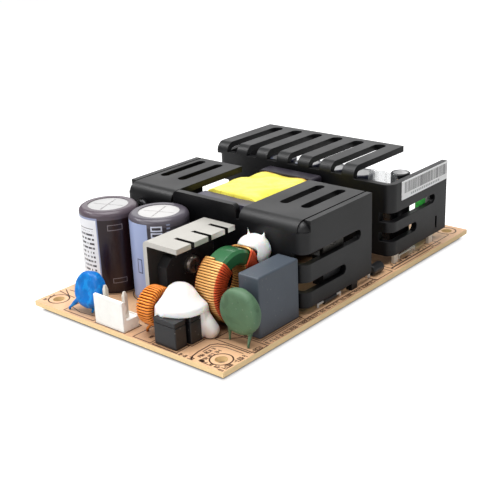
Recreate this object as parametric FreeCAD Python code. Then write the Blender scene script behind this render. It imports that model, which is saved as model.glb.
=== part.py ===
import FreeCAD, Part
import math
import os
from FreeCAD import Vector

# Open frame power supply on a 5 x 3 inch board, sizes in millimetres.
# X runs along the board from the mains input edge (-X) to the output edge (+X), Z is up.
# The origin is below the board's centre, on the surface that the solder joints stand on.
# Every z in a name that ends in "height" or "lift" is measured from the board's top face.

# Circuit board
board_length = 127.0
board_width = 76.2
board_thickness = 1.6
hole_inset = 5.08
hole_diameter = 3.6
solder_height = 1.6
solder_radius = 1.1
lead_diameter = 0.8
seat_gap = 0.3

# Folded heatsink sheet
sheet = 2.0
bend_radius = 1.2
slot_rounding = 0.49
leg_width = 3.0

# Front heatsink
front_wall_x = -25.6
front_back_x = 8.0
front_right_y = -35.5
front_left_y = 36.0
front_height = 28.0
front_lift = 2.2
front_leg_x = -1.1
front_leg_y = 20.0
mid_wall_height = 28.9
flange_right_y = -12.0
flange_left_y = 15.5
flange_side_gap = 0.5
flange_relief = 1.1
mid_wall_rounding = 1.6
flange_slot_width = 3.1
flange_slot_first = 7.1
flange_slot_pitch = 7.7
flange_slot_start_x = -14.3
flange_slot_end_x = 5.6
side_slot_width = 3.1
upper_slot_height = 16.9
upper_slot_end_x = 2.2
lower_slot_height = 8.4
lower_slot_end_x = -5.5
side_slot_depth = 4.6

# Rear heatsink
rear_wall_x = 20.0
rear_back_x = 54.0
rear_right_y = -34.8
rear_left_y = 37.2
rear_side_height = 26.6
rear_lift = 3.0
rear_plate_height = 30.5
rear_plate_right_y = -20.6
rear_plate_back_x = 49.6
rear_plate_slots = 6
rear_plate_slot_width = 4.2
rear_plate_slot_end_x = 47.3
rear_plate_slot_foot = 27.4
rear_upper_slot_height = 15.8
rear_upper_slot_end_x = 46.5
rear_lower_slot_height = 9.3
rear_lower_slot_end_x = 35.3
small_slot_x = 47.6
small_slot_width = 1.1
small_slot_foot = 4.8
small_slot_head = 9.0
rear_pin_x = 45.3
rear_pin_front_x = 24.0
rear_pin_width = 2.4
rear_pin_thickness = 1.0

# Label on the rear heatsink
label_start_x = 25.7
label_end_x = 53.8
label_foot = 20.5
label_head = 26.5
label_thickness = 0.2

# Rectifier bracket and bridge rectifier
bracket_start_x = -54.0
bracket_end_x = -30.2
bracket_y = -1.5
bracket_sheet = 1.5
bracket_height = 25.0
bracket_flange = 11.5
bracket_slots = 3
bracket_slot_first = 6.4
bracket_slot_pitch = 6.9
bracket_slot_width = 1.3
bracket_slot_depth = 6.6
bracket_foot = 4.0
bridge_offset = 3.4
bridge_width = 19.6
bridge_thickness = 3.6
bridge_lift = 0.9
bridge_height = 19.0
bridge_corner = 2.4
bridge_hole_height = 14.9
bridge_leads = 4
bridge_lead_pitch = 3.81

# Machine screws
screw_diameter = 3.0
screw_head_diameter = 5.4
screw_head_height = 1.8
screw_recess_width = 1.0
screw_recess_depth = 1.0
nut_across = 5.5
nut_height = 2.2

# Bulk capacitors
bulk_diameter = 18.0
bulk_height = 26.0
bulk_sleeve = 0.25
bulk_lip = 1.5
bulk_edge = 1.3
bulk_lead_pitch = 7.5
bulk_1_x = -39.6
bulk_1_y = 28.4
bulk_2_x = -35.6
bulk_2_y = 10.6

# Blue varistor
varistor_x = -60.2
varistor_y = 18.0
varistor_diameter = 11.0
varistor_thickness = 4.2
varistor_lift = 1.6
varistor_lead_pitch = 7.5
varistor_lead_offset = 1.1
varistor_lean = 2.6
varistor_tilt = 17.0

# Input header, 3.96 mm pitch with the middle way left out
header_x = -62.8
header_depth = 5.8
header_base = 3.2
header_wall = 1.1
header_wall_height = 9.0
header_end = 1.9
header_pitch = 3.96
header_pin = 1.14
header_pin_height = 11.0
header_pin_inset = 3.0
input_ways = 3
input_y = 5.25
output_ways = 8
output_y = 4.0

# Fuses
fuse_depth = 4.3
fuse_width = 8.1
fuse_height = 8.0
fuse_lid = 1.3
fuse_groove = 0.25
fuse_lead_pitch = 5.08
fuse_1_x = -60.15
fuse_1_y = -16.35
fuse_2_x = -55.0
fuse_2_y = -17.1

# Small input choke, a ring standing on its wire ends
ring_gap = 0.1
ring_y = -7.5
ring_core_radius = 4.85
ring_core_hole = 2.6
ring_core_width = 4.0
ring_wire = 0.8
ring_turns = 24
ring_lift = 2.3
ring_open_angle = 40.0
ring_lead_step = 2.9
ring_lead_offset = 2.4
ring_lead_shift = 1.2

# Common mode choke, a green ring with two windings
choke_x = -38.7
choke_y = -19.3
choke_core_radius = 10.1
choke_core_hole = 5.6
choke_core_width = 6.7
choke_wire = 0.95
choke_turns = 19
choke_left_start = 118.0
choke_left_end = 262.0
choke_low_gap = 16.0
choke_top_gap = 56.0

# White silicone mounds that hold the tall parts
mound_x = -53.3
mound_y = -14.2
mound_radius = 7.8
mound_waist_height = 7.4
mound_foot_radius = 6.3
mound_lobe = 5.0
mound_reach = 9.0
bead_x = -28.9
bead_y = -20.0
bead_radius = 4.9
bead_height = 18.2
bead_tip = 2.3
skin_gap = 0.05

# Film capacitor
film_gap = 0.8
film_length = 17.4
film_back_y = -26.9
film_thickness = 7.2
film_height = 18.0
film_edge = 0.5
film_lead_pitch = 15.0

# Green disc thermistor
disc_gap = 2.5
disc_y = -31.0
disc_diameter = 13.2
disc_thickness = 3.4
disc_lift = 2.7
disc_lead_pitch = 7.5
disc_lead_offset = -0.5
disc_lean = -1.0
disc_tilt = 0.0

# Main transformer
core_yoke_x = -19.0
core_yoke = 4.9
core_right_y = -9.6
core_left_y = 12.2
core_foot = 4.5
core_height = 26.3
core_leg = 3.4
core_centre_leg = 7.0
core_leg_inset = 1.4
core_edge = 0.8
winding_bulge = 1.1
winding_height = 27.6
winding_rounding = 5.0
bobbin_lift = 0.6
bobbin_floor = 1.2
bobbin_rail = 6.4
transformer_pins = 4
transformer_pin_pitch = 5.0

# Power devices in flat packages with a metal tab
device_width = 10.0
device_body = 9.2
device_tab = 6.3
device_tab_thickness = 1.3
device_thickness = 4.5
device_hole_drop = 2.8
device_lead_pitch = 2.54
device_lead_width = 0.8
device_lead_thickness = 0.5
front_device_height = 24.0
front_device_1_y = 17.5
front_device_2_y = 27.7
side_device_x = -9.0
side_device_height = 20.5
rear_device_height = 19.0
rear_device_1_y = -8.0
rear_device_2_y = 4.0
rear_device_3_y = 25.0

# Clear insulation film behind the rear heatsink's wall
film_sheet = 0.3
film_sheet_x = 29.2
film_sheet_start_y = -31.0
film_sheet_end_y = -20.4
film_sheet_height = 27.6
film_sheet_wave = 0.7
film_sheet_waves = 3

# Output filter parts
output_cap_diameter = 10.0
output_cap_height = 20.0
output_cap_x = 45.7
output_cap_first_y = -6.0
output_cap_pitch = 11.4
output_caps = 4
output_cap_lead_pitch = 5.0
tall_cap_diameter = 6.3
tall_cap_height = 26.0
tall_cap_x = 36.2
tall_cap_y = -27.8
green_cap_diameter = 5.0
green_cap_height = 19.0
green_cap_x = 49.2
green_cap_y = -28.6
coil_x = 34.7
coil_y = -13.2
coil_core_radius = 7.0
coil_core_hole = 3.6
coil_core_width = 7.4
coil_wire = 1.0
coil_turns = 16

# Small parts on the board
chip_pitch = 2.54
chip_width = 6.4
chip_height = 3.6
chip_lift = 0.6
chip_row = 7.62
chip_slant = 0.3
chip_arm_width = 1.2
chip_pin_width = 0.5
chip_pin_thickness = 0.24
controller_x = -7.0
controller_y = 25.0
controller_pins = 4
coupler_x = 13.0
coupler_1_y = 22.0
coupler_2_y = 31.0
coupler_pins = 2
small_cap_diameter = 6.3
small_cap_height = 11.0
small_cap_x = 3.5
small_cap_y = 28.6
small_cap_lead_pitch = 2.5
diode_1_x = -12.7
diode_1_y = -34.4
diode_1_body = 6.0
diode_1_diameter = 1.9
diode_1_lead_reach = 2.4
diode_2_x = 12.6
diode_2_y = -33.9
diode_2_body = 5.6
diode_2_diameter = 3.4
diode_2_lead_reach = 0.9
link_diameter = 0.7
link_height = 1.2

top = solder_height + board_thickness
outer_bend = sheet + bend_radius
film_start_x = front_wall_x - film_gap - film_length
disc_x = film_start_x - disc_gap - disc_thickness / 2
pads = []


# Helpers
def block(x0, x1, y0, y1, z0, z1):
    """A box between two corners."""
    return Part.makeBox(x1 - x0, y1 - y0, z1 - z0, Vector(x0, y0, z0))


def outline(points, radii):
    """A closed flat wire through corner points, each corner rounded to its own radius."""
    corners = [Vector(*point) for point in points]
    count = len(corners)
    starts = []
    ends = []
    middles = []
    for i, corner in enumerate(corners):
        back = (corners[i - 1] - corner).normalize()
        ahead = (corners[(i + 1) % count] - corner).normalize()
        half = back.getAngle(ahead) / 2
        reach = radii[i] / math.tan(half)
        centre_distance = radii[i] / math.sin(half)
        bisector = (back + ahead).normalize()
        starts.append(corner + back * reach)
        ends.append(corner + ahead * reach)
        middles.append(corner + bisector * (centre_distance - radii[i]))
    edges = []
    for i in range(count):
        if radii[i] > 0:
            edges.append(Part.Arc(starts[i], middles[i], ends[i]).toShape())
        following = starts[(i + 1) % count]
        if ends[i].distanceToPoint(following) > 1e-6:
            edges.append(Part.LineSegment(ends[i], following).toShape())
    return Part.Wire(edges)


def prism(points, radii, sweep):
    """A flat rounded outline swept straight along a vector."""
    return Part.Face(outline(points, radii)).extrude(Vector(*sweep))


def slab(x0, x1, y0, y1, z0, z1, radius):
    """A box with rounded upright edges."""
    points = [(x0, y0, z0), (x1, y0, z0), (x1, y1, z0), (x0, y1, z0)]
    return prism(points, [radius] * 4, (0, 0, z1 - z0))


def slot_along_x(x0, x1, y, width, z0, z1):
    """A cutter for a round-ended slot that runs along X and goes down through a plate."""
    half = width / 2
    return slab(x0, x1, y - half, y + half, z0, z1, width * slot_rounding)


def side_slot(x0, x1, z, width, y0, y1):
    """A cutter for a round-ended slot along X that goes sideways through a wall."""
    half = width / 2
    points = [(x0, y0, z - half), (x1, y0, z - half), (x1, y0, z + half), (x0, y0, z + half)]
    return prism(points, [width * slot_rounding] * 4, (0, y1 - y0, 0))


def rod(start, end, diameter):
    """A round bar between two points."""
    direction = Vector(*end) - Vector(*start)
    return Part.makeCylinder(diameter / 2, direction.Length, Vector(*start), direction)


def lead(x, y, height, diameter=lead_diameter):
    """An upright lead on the board's top face, with its solder joint noted for the underside."""
    pads.append((x, y))
    return rod((x, y, top), (x, y, top + height), diameter)


def leads_across(x, y, height, pitch, count, along_x):
    """A row of leads centred on a point."""
    row = []
    for i in range(count):
        step = (i - (count - 1) / 2) * pitch
        if along_x:
            row.append(lead(x + step, y, height))
        else:
            row.append(lead(x, y + step, height))
    return row


def turned(profile, centre, axis, angle=360):
    """A closed profile, made about the Z axis in the XZ plane, revolved and stood on a point."""
    face = Part.Face(Part.Wire(profile))
    solid = face.revolve(Vector(0, 0, 0), Vector(0, 0, 1), angle)
    solid.Placement = FreeCAD.Placement(Vector(*centre), FreeCAD.Rotation(Vector(0, 0, 1), Vector(*axis)))
    return solid


def turned_outline(points, radii, centre, axis):
    """A solid of revolution from (radius, height) corners with rounded corners."""
    wire = outline([(r, 0, z) for r, z in points], radii)
    return turned(wire.Edges, centre, axis)


def joined(shapes):
    """Several touching solids made into one."""
    whole = shapes[0].fuse(shapes[1:])
    return whole.removeSplitter()


# Circuit board and its solder joints
def circuit_board():
    """The board with its four corner holes."""
    half_x = board_length / 2
    half_y = board_width / 2
    board = block(-half_x, half_x, -half_y, half_y, solder_height, top)
    for x in (-half_x + hole_inset, half_x - hole_inset):
        for y in (-half_y + hole_inset, half_y - hole_inset):
            board = board.cut(rod((x, y, 0), (x, y, top + 1), hole_diameter))
    return board


def solder_joints():
    """A solder cone with its trimmed lead under every pad."""
    joints = []
    tip = lead_diameter / 2
    for x, y in pads:
        cone = Part.makeCone(tip, solder_radius, solder_height, Vector(x, y, 0))
        joints.append(cone)
    return Part.makeCompound(joints)


# Front heatsink: one folded sheet with two slotted top flanges
def folded_channel(front_x, back_x, right_y, left_y, foot, head):
    """A wall across the board with a side wall folded back at each end."""
    outer = [
        (front_x, right_y, foot),
        (back_x, right_y, foot),
        (back_x, right_y + sheet, foot),
        (front_x + sheet, right_y + sheet, foot),
        (front_x + sheet, left_y - sheet, foot),
        (back_x, left_y - sheet, foot),
        (back_x, left_y, foot),
        (front_x, left_y, foot),
    ]
    radii = [outer_bend, 0, 0, bend_radius, bend_radius, 0, 0, outer_bend]
    return prism(outer, radii, (0, 0, head - foot))


def top_flange(front_x, back_x, y0, y1, foot, head):
    """The upper part of a wall, folded back into a flat top."""
    section = [
        (front_x, y0, foot),
        (front_x, y0, head),
        (back_x, y0, head),
        (back_x, y0, head - sheet),
        (front_x + sheet, y0, head - sheet),
        (front_x + sheet, y0, foot),
    ]
    radii = [0, outer_bend, 0, 0, bend_radius, 0]
    return prism(section, radii, (0, y1 - y0, 0))


def front_heatsink():
    """Wall, side walls, two flanges and feet of the front heatsink."""
    foot = top + front_lift
    head = top + front_height
    fold = head - outer_bend
    flange_y0 = front_right_y + sheet + flange_side_gap
    flange_y1 = front_left_y - sheet - flange_side_gap
    shape = folded_channel(front_wall_x, front_back_x, front_right_y, front_left_y, foot, head)
    clear_x = front_wall_x + outer_bend
    shape = shape.cut(block(front_wall_x, clear_x, front_right_y, front_left_y, fold, head))
    mid_y0 = flange_right_y + flange_relief
    mid_y1 = flange_left_y - flange_relief
    mid_head = top + mid_wall_height
    mid_wall = prism(
        [
            (front_wall_x, mid_y0, fold),
            (front_wall_x, mid_y1, fold),
            (front_wall_x, mid_y1, mid_head),
            (front_wall_x, mid_y0, mid_head),
        ],
        [0, 0, mid_wall_rounding, mid_wall_rounding],
        (sheet, 0, 0),
    )
    right = top_flange(front_wall_x, front_back_x, flange_y0, flange_right_y, fold, head)
    left = top_flange(front_wall_x, front_back_x, flange_left_y, flange_y1, fold, head)
    shape = joined([shape, mid_wall, right, left])
    cutters = []
    for i in range(2):
        step = flange_slot_first + i * flange_slot_pitch
        for y in (flange_right_y - step, flange_left_y + step):
            slot = slot_along_x(
                flange_slot_start_x, flange_slot_end_x, y, flange_slot_width, head - sheet - 1, head + 1
            )
            cutters.append(slot)
    wall_start = front_wall_x - outer_bend
    for y0, y1 in (
        (front_right_y - 1, front_right_y + side_slot_depth),
        (front_left_y - side_slot_depth, front_left_y + 1),
    ):
        upper = side_slot(wall_start, upper_slot_end_x, top + upper_slot_height, side_slot_width, y0, y1)
        lower = side_slot(wall_start, lower_slot_end_x, top + lower_slot_height, side_slot_width, y0, y1)
        cutters.append(upper)
        cutters.append(lower)
    for y in (front_device_1_y, front_device_2_y):
        z = top + front_device_height - device_hole_drop
        cutters.append(rod((front_wall_x - 1, y, z), (front_wall_x + sheet + 1, y, z), screw_diameter))
    shape = shape.cut(cutters)
    feet = [shape]
    for y0 in (front_right_y, front_left_y - sheet):
        x0 = front_leg_x - leg_width / 2
        feet.append(block(x0, x0 + leg_width, y0, y0 + sheet, top, foot))
        pads.append((front_leg_x, y0 + sheet / 2))
    for y in (-front_leg_y, front_leg_y):
        y0 = y - leg_width / 2
        feet.append(block(front_wall_x, front_wall_x + sheet, y0, y0 + leg_width, top, foot))
        pads.append((front_wall_x + sheet / 2, y))
    return joined(feet)


# Rear heatsink: a taller folded sheet with a slotted top plate
def rear_slot_centres():
    """The y of each slot in the top plate, with equal ribs between them."""
    width = rear_left_y - rear_plate_right_y
    rib = (width - rear_plate_slots * rear_plate_slot_width) / (rear_plate_slots + 1)
    pitch = rib + rear_plate_slot_width
    first = rear_left_y - rib - rear_plate_slot_width / 2
    return [first - i * pitch for i in range(rear_plate_slots)]


def rear_heatsink():
    """Wall, side walls, slotted top plate and label place of the rear heatsink."""
    foot = top + rear_lift
    side_head = top + rear_side_height
    head = top + rear_plate_height
    fold = head - outer_bend
    shape = folded_channel(rear_wall_x, rear_back_x, rear_right_y, rear_left_y, foot, side_head)
    plate = top_flange(rear_wall_x, rear_plate_back_x, rear_plate_right_y, rear_left_y, side_head, head)
    clear_x = rear_wall_x + outer_bend
    shape = joined([shape, plate])
    cutters = []
    half = rear_plate_slot_width / 2
    for y in rear_slot_centres():
        cutters.append(
            slot_along_x(
                rear_wall_x + sheet + 1, rear_plate_slot_end_x, y, rear_plate_slot_width,
                top + rear_plate_slot_foot, head + 1,
            )
        )
        cutters.append(
            block(
                rear_wall_x - 1, clear_x + half, y - half, y + half, top + rear_plate_slot_foot, head + 1
            )
        )
    wall_start = rear_wall_x - outer_bend
    for y0, y1 in (
        (rear_right_y - 1, rear_right_y + side_slot_depth),
        (rear_left_y - side_slot_depth, rear_left_y + 1),
    ):
        upper = side_slot(
            wall_start, rear_upper_slot_end_x, top + rear_upper_slot_height, side_slot_width, y0, y1
        )
        lower = side_slot(
            wall_start, rear_lower_slot_end_x, top + rear_lower_slot_height, side_slot_width, y0, y1
        )
        small_x = small_slot_x - small_slot_width / 2
        small = block(
            small_x, small_x + small_slot_width, y0, y1, top + small_slot_foot, top + small_slot_head
        )
        cutters.extend([upper, lower, small])
    for y in (rear_device_1_y, rear_device_2_y, rear_device_3_y):
        z = top + rear_device_height - device_hole_drop
        cutters.append(rod((rear_wall_x - 1, y, z), (rear_wall_x + sheet + 1, y, z), screw_diameter))
    return shape.cut(cutters)


def rear_heatsink_pins():
    """Tinned pins pressed between the rear heatsink's walls and the board."""
    pins = []
    for y in (rear_right_y + sheet / 2, rear_left_y - sheet / 2):
        for x in (rear_pin_front_x, rear_pin_x):
            pads.append((x, y))
            half_x = rear_pin_width / 2
            half_y = rear_pin_thickness / 2
            pins.append(block(x - half_x, x + half_x, y - half_y, y + half_y, top, top + rear_lift))
    return Part.makeCompound(pins)


def barcode_label():
    """The white label on the rear heatsink's right wall."""
    return block(
        label_start_x, label_end_x, rear_right_y - label_thickness, rear_right_y, top + label_foot,
        top + label_head,
    )


# Screws and nuts
def pan_screw(seat, direction, grip):
    """A cross-slotted screw: the head stands on seat, the shank runs the other way."""
    axis = Vector(*direction)
    seat_point = Vector(*seat)
    shank = Part.makeCylinder(screw_diameter / 2, grip + nut_height, seat_point, axis * -1)
    rim = screw_head_diameter / 2
    head = turned_outline(
        [(0, 0), (rim, 0), (rim, screw_head_height), (0, screw_head_height)],
        [0, 0, screw_head_height * 0.6, 0],
        seat,
        direction,
    )
    recess = Part.makeBox(
        screw_head_diameter * 0.56, screw_recess_width, screw_recess_depth,
        Vector(-screw_head_diameter * 0.28, -screw_recess_width / 2, screw_head_height - screw_recess_depth),
    )
    cross = recess.copy()
    cross.rotate(Vector(0, 0, 0), Vector(0, 0, 1), 90)
    for cut in (recess, cross):
        cut.Placement = FreeCAD.Placement(seat_point, FreeCAD.Rotation(Vector(0, 0, 1), axis)).multiply(
            cut.Placement
        )
        head = head.cut(cut)
    return joined([shank, head])


def hex_nut(seat, direction):
    """A nut on seat, with a bore for the screw's shank."""
    radius = nut_across / 2 / math.cos(math.radians(30))
    points = []
    for i in range(6):
        angle = math.radians(60 * i)
        points.append(Vector(radius * math.cos(angle), radius * math.sin(angle), 0))
    points.append(points[0])
    nut = Part.Face(Part.makePolygon(points)).extrude(Vector(0, 0, nut_height))
    nut = nut.cut(Part.makeCylinder(screw_diameter / 2, nut_height))
    nut.Placement = FreeCAD.Placement(Vector(*seat), FreeCAD.Rotation(Vector(0, 0, 1), Vector(*direction)))
    return nut


# Bridge rectifier on its bracket
def bridge_centre():
    return bracket_start_x + bridge_offset + bridge_width / 2


def bridge_hole():
    y = bracket_y + 1
    z = top + bridge_hole_height
    x = bridge_centre()
    return rod((x, y, z), (x, bracket_y - bracket_sheet - bridge_thickness - 1, z), screw_diameter)


def rectifier_bracket():
    """An angle: an upright plate on the board and a notched flange folded forward on top."""
    y0 = bracket_y - bracket_sheet
    y2 = bracket_y - bracket_sheet - bracket_flange
    head = top + bracket_height
    x0 = bracket_start_x
    section = [
        (x0, bracket_y, top),
        (x0, bracket_y, head),
        (x0, y2, head),
        (x0, y2, head - bracket_sheet),
        (x0, y0, head - bracket_sheet),
        (x0, y0, top),
    ]
    radii = [0, bracket_sheet, 0, 0, 0.4, 0]
    shape = prism(section, radii, (bracket_end_x - x0, 0, 0))
    cutters = [bridge_hole()]
    for i in range(bracket_slots):
        x = x0 + bracket_slot_first + i * bracket_slot_pitch - bracket_slot_width / 2
        under = head - bracket_sheet - 1
        cutters.append(
            block(x, x + bracket_slot_width, y2 - 1, y2 + bracket_slot_depth, under, head + 1)
        )
    foot_x0 = x0 + bracket_foot
    foot_x1 = bracket_end_x - bracket_foot
    cutters.append(block(foot_x0, foot_x1, y0 - 1, bracket_y + 1, top - 1, top + front_lift))
    pads.append((x0 + bracket_foot / 2, bracket_y - bracket_sheet / 2))
    pads.append((bracket_end_x - bracket_foot / 2, bracket_y - bracket_sheet / 2))
    return shape.cut(cutters)


def bridge_rectifier():
    """A flat moulded package with one cut corner and four leads, screwed to the bracket."""
    y1 = bracket_y - bracket_sheet
    y0 = y1 - bridge_thickness
    x0 = bridge_centre() - bridge_width / 2
    x1 = x0 + bridge_width
    foot = top + bridge_lift + 1.5
    head = top + bridge_height
    points = [
        (x0, y0, foot),
        (x1, y0, foot),
        (x1, y0, head),
        (x0 + bridge_corner, y0, head),
        (x0, y0, head - bridge_corner),
    ]
    body = prism(points, [0.3, 0.3, 0.6, 0.3, 0.3], (0, y1 - y0, 0))
    body = body.cut(bridge_hole())
    leads = leads_across(
        bridge_centre(), (y0 + y1) / 2, foot - top, bridge_lead_pitch, bridge_leads, True
    )
    return joined([body] + leads)


# Bulk capacitors
def bulk_can(x, y):
    """The can of a bulk capacitor, with a rolled groove near its foot and a scored top."""
    radius = bulk_diameter / 2 - bulk_sleeve
    foot = top + seat_gap
    head = top + bulk_height - bulk_sleeve
    points = [(0, foot), (radius, foot), (radius, head), (0, head)]
    can = turned_outline(points, [0, 0, bulk_edge, 0], (x, y, 0), (0, 0, 1))
    half = bulk_lead_pitch / 2
    for step in (-half, half):
        can = can.fuse(lead(x + step, y, seat_gap))
    score = bulk_diameter * 0.28
    depth = 0.2
    for angle in (0, 90):
        cut = block(-score, score, -0.15, 0.15, head - depth, head + 1)
        cut.rotate(Vector(0, 0, 0), Vector(0, 0, 1), angle + 20)
        cut.translate(Vector(x, y, 0))
        can = can.cut(cut)
    return can


def bulk_sleeve_part(x, y):
    """The shrunk sleeve: a thin tube that turns in over the can's top edge."""
    outer = bulk_diameter / 2
    inner = outer - bulk_sleeve
    foot = top + seat_gap
    head = top + bulk_height
    under = head - bulk_sleeve
    lip = outer - bulk_edge - bulk_lip
    points = [(inner, foot), (outer, foot), (outer, head), (lip, head), (lip, under), (inner, under)]
    radii = [0, 0, bulk_edge + bulk_sleeve, 0, 0, bulk_edge]
    return turned_outline(points, radii, (x, y, 0), (0, 0, 1))


def radial_capacitor(x, y, diameter, height, pitch, along_x):
    """A small electrolytic capacitor, can and sleeve as one closed body."""
    radius = diameter / 2
    foot = top + seat_gap
    head = top + height
    waist = head - diameter * 0.22
    groove = diameter * 0.03
    points = [
        (0, foot),
        (radius, foot),
        (radius, waist - groove * 2),
        (radius - groove, waist),
        (radius, waist + groove * 2),
        (radius, head),
        (radius * 0.8, head),
        (radius * 0.76, head - 0.25),
        (0, head - 0.25),
    ]
    radii = [0, 0.3, 0, 0, 0, 0.5, 0, 0, 0]
    body = turned_outline(points, radii, (x, y, 0), (0, 0, 1))
    return joined([body] + leads_across(x, y, seat_gap, pitch, 2, along_x))


# Coated discs on two leads
def coated_disc(x, y, diameter, thickness, lift, pitch, offset, lean_x, lean_y, tilt):
    """A dipped disc that faces along X and leans back by tilt; its leads leave opposite faces."""
    radius = diameter / 2
    half = thickness / 2
    angle = math.radians(tilt)
    upward = Vector(math.sin(angle), 0, math.cos(angle))
    facing = Vector(math.cos(angle), 0, -math.sin(angle))
    centre = Vector(x, y, top) + upward * (lift + radius)
    rim = half * 0.8
    points = [(0, -half), (radius, -half), (radius, half), (0, half)]
    disc = turned_outline(points, [0, rim, rim, 0], (centre.x, centre.y, centre.z), (facing.x, 0, facing.z))
    shapes = [disc]
    for side in (-1, 1):
        foot_x = x + lean_x + side * offset
        foot_y = y + lean_y - side * pitch / 2
        pads.append((foot_x, foot_y))
        bend = Vector(foot_x, foot_y, top + lift * 0.4)
        meet = centre - upward * radius * 0.62 + facing * side * half * 0.55
        meet = meet - Vector(0, side * pitch / 2 * 0.8, 0)
        shapes.append(rod((foot_x, foot_y, top), (bend.x, bend.y, bend.z), lead_diameter))
        shapes.append(Part.makeSphere(lead_diameter / 2, bend))
        reach = meet - bend
        shapes.append(Part.makeCone(lead_diameter / 2, lead_diameter * 0.95, reach.Length, bend, reach))
    return joined(shapes)


# Headers
def header_body(x_wall, facing, y_centre, ways, pin_ys):
    """A header base with its friction wall; facing is +1 where the inside of the board is at +X."""
    half = (ways - 1) * header_pitch / 2 + header_end
    ramp = header_wall * 0.6
    profile = [
        (0, 0),
        (header_depth, 0),
        (header_depth, header_base),
        (header_wall, header_base),
        (header_wall, header_wall_height * 0.62),
        (header_wall + ramp, header_wall_height * 0.74),
        (header_wall, header_wall_height),
        (0, header_wall_height),
    ]
    radii = [0, 0.3, 0.3, 0, 0, 0.2, 0.4, 0.3]
    points = [(x_wall + facing * u, y_centre - half, top + v) for u, v in profile]
    body = prism(points, radii, (0, 2 * half, 0))
    for y in pin_ys:
        body = body.cut(header_pin_shape(x_wall, facing, y))
    return body


def header_pin_shape(x_wall, facing, y):
    """One square pin with a tapered tip."""
    half = header_pin / 2
    x = x_wall + facing * header_pin_inset
    tip_z = top + header_pin_height
    shaft = block(x - half, x + half, y - half, y + half, top, tip_z - header_pin)
    low = Part.makePolygon([
        Vector(x - half, y - half, tip_z - header_pin),
        Vector(x + half, y - half, tip_z - header_pin),
        Vector(x + half, y + half, tip_z - header_pin),
        Vector(x - half, y + half, tip_z - header_pin),
        Vector(x - half, y - half, tip_z - header_pin),
    ])
    small = half * 0.5
    high = Part.makePolygon([
        Vector(x - small, y - small, tip_z),
        Vector(x + small, y - small, tip_z),
        Vector(x + small, y + small, tip_z),
        Vector(x - small, y + small, tip_z),
        Vector(x - small, y - small, tip_z),
    ])
    tip = Part.makeLoft([low, high], True, True)
    return joined([shaft, tip])


def header_pins(x_wall, facing, pin_ys):
    """The pins of one header, each with its solder joint."""
    pins = []
    for y in pin_ys:
        pads.append((x_wall + facing * header_pin_inset, y))
        pins.append(header_pin_shape(x_wall, facing, y))
    return Part.makeCompound(pins)


def input_pin_ys():
    return [input_y - header_pitch, input_y + header_pitch]


def output_pin_ys():
    return [output_y + (i - (output_ways - 1) / 2) * header_pitch for i in range(output_ways)]


# Fuses
def fuse(x, y):
    """A box-shaped fuse with a lid line, standing on two leads."""
    half_x = fuse_depth / 2
    half_y = fuse_width / 2
    head = top + fuse_height
    seam = head - fuse_lid
    groove = fuse_groove
    body = slab(x - half_x, x + half_x, y - half_y, y + half_y, top + seat_gap, seam - groove, 0.35)
    neck_x = half_x - groove
    neck_y = half_y - groove
    neck = block(x - neck_x, x + neck_x, y - neck_y, y + neck_y, seam - groove, seam)
    lid = slab(x - half_x, x + half_x, y - half_y, y + half_y, seam, head, 0.35)
    return joined([body, neck, lid] + leads_across(x, y, seat_gap, fuse_lead_pitch, 2, False))


def fuse_space():
    """The plain box round both fuses and the slit between them."""
    half_x = fuse_depth / 2
    half_y = fuse_width / 2
    y0 = min(fuse_1_y, fuse_2_y) - half_y
    y1 = max(fuse_1_y, fuse_2_y) + half_y
    return block(fuse_1_x - half_x, fuse_2_x + half_x, y0, y1, top, top + fuse_height)


# Ring cores and their windings
def bevelled(hole, radius, half, edge):
    """A rectangle in the XZ plane with its corners cut off, as a closed wire."""
    points = [
        (hole + edge, -half),
        (radius - edge, -half),
        (radius, -half + edge),
        (radius, half - edge),
        (radius - edge, half),
        (hole + edge, half),
        (hole, half - edge),
        (hole, -half + edge),
    ]
    corners = [Vector(r, 0, z) for r, z in points]
    return Part.makePolygon(corners + corners[:1])


def ring_core(centre, radius, hole, width, axis):
    """A coated ring core with bevelled edges, on an axis through its centre."""
    return turned(bevelled(hole, radius, width / 2, core_edge).Edges, centre, axis)


def winding_section(radius, hole, width, wire):
    """The closed loop that one turn makes round the core, as a flat face in the XZ plane."""
    half = width / 2
    inside = bevelled(hole, radius, half, core_edge)
    outside = bevelled(hole - wire, radius + wire, half + wire, core_edge + wire * 0.6)
    return Part.Face(outside).cut(Part.Face(inside))


def ring_winding(centre, axis, radius, hole, width, wire, turns, start, end):
    """Turns laid side by side round part of a ring, on a thin layer that joins them."""
    up = Vector(0, 0, 1)
    zero = Vector(0, 0, 0)
    pitch = (end - start) / turns
    base = winding_section(radius, hole, width, wire * 0.55).revolve(zero, up, end - start)
    base.rotate(zero, up, start)
    loop = winding_section(radius, hole, width, wire)
    turn = loop.revolve(zero, up, pitch * 0.66)
    shapes = [base]
    for i in range(turns):
        copy = turn.copy()
        copy.rotate(zero, up, start + pitch * (i + 0.17))
        shapes.append(copy)
    winding = joined(shapes)
    winding.Placement = FreeCAD.Placement(
        Vector(*centre), FreeCAD.Rotation(Vector(0, 0, 1), Vector(*axis))
    ).multiply(winding.Placement)
    return winding


def ring_point(centre, radius, angle, y):
    """A point on a ring that stands in the XZ plane."""
    a = math.radians(angle)
    return (centre[0] + radius * math.cos(a), y, centre[2] + radius * math.sin(a))


ring_reach = ring_core_radius + ring_wire
ring_half = ring_core_width / 2 + ring_wire
ring_x = bracket_start_x + bridge_offset - ring_gap - ring_reach
ring_centre = (ring_x, ring_y, top + ring_lift + ring_reach)
choke_reach = choke_core_radius + choke_wire
choke_half = choke_core_width / 2 + choke_wire
choke_centre = (choke_x, choke_y, top + seat_gap + choke_reach)


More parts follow.
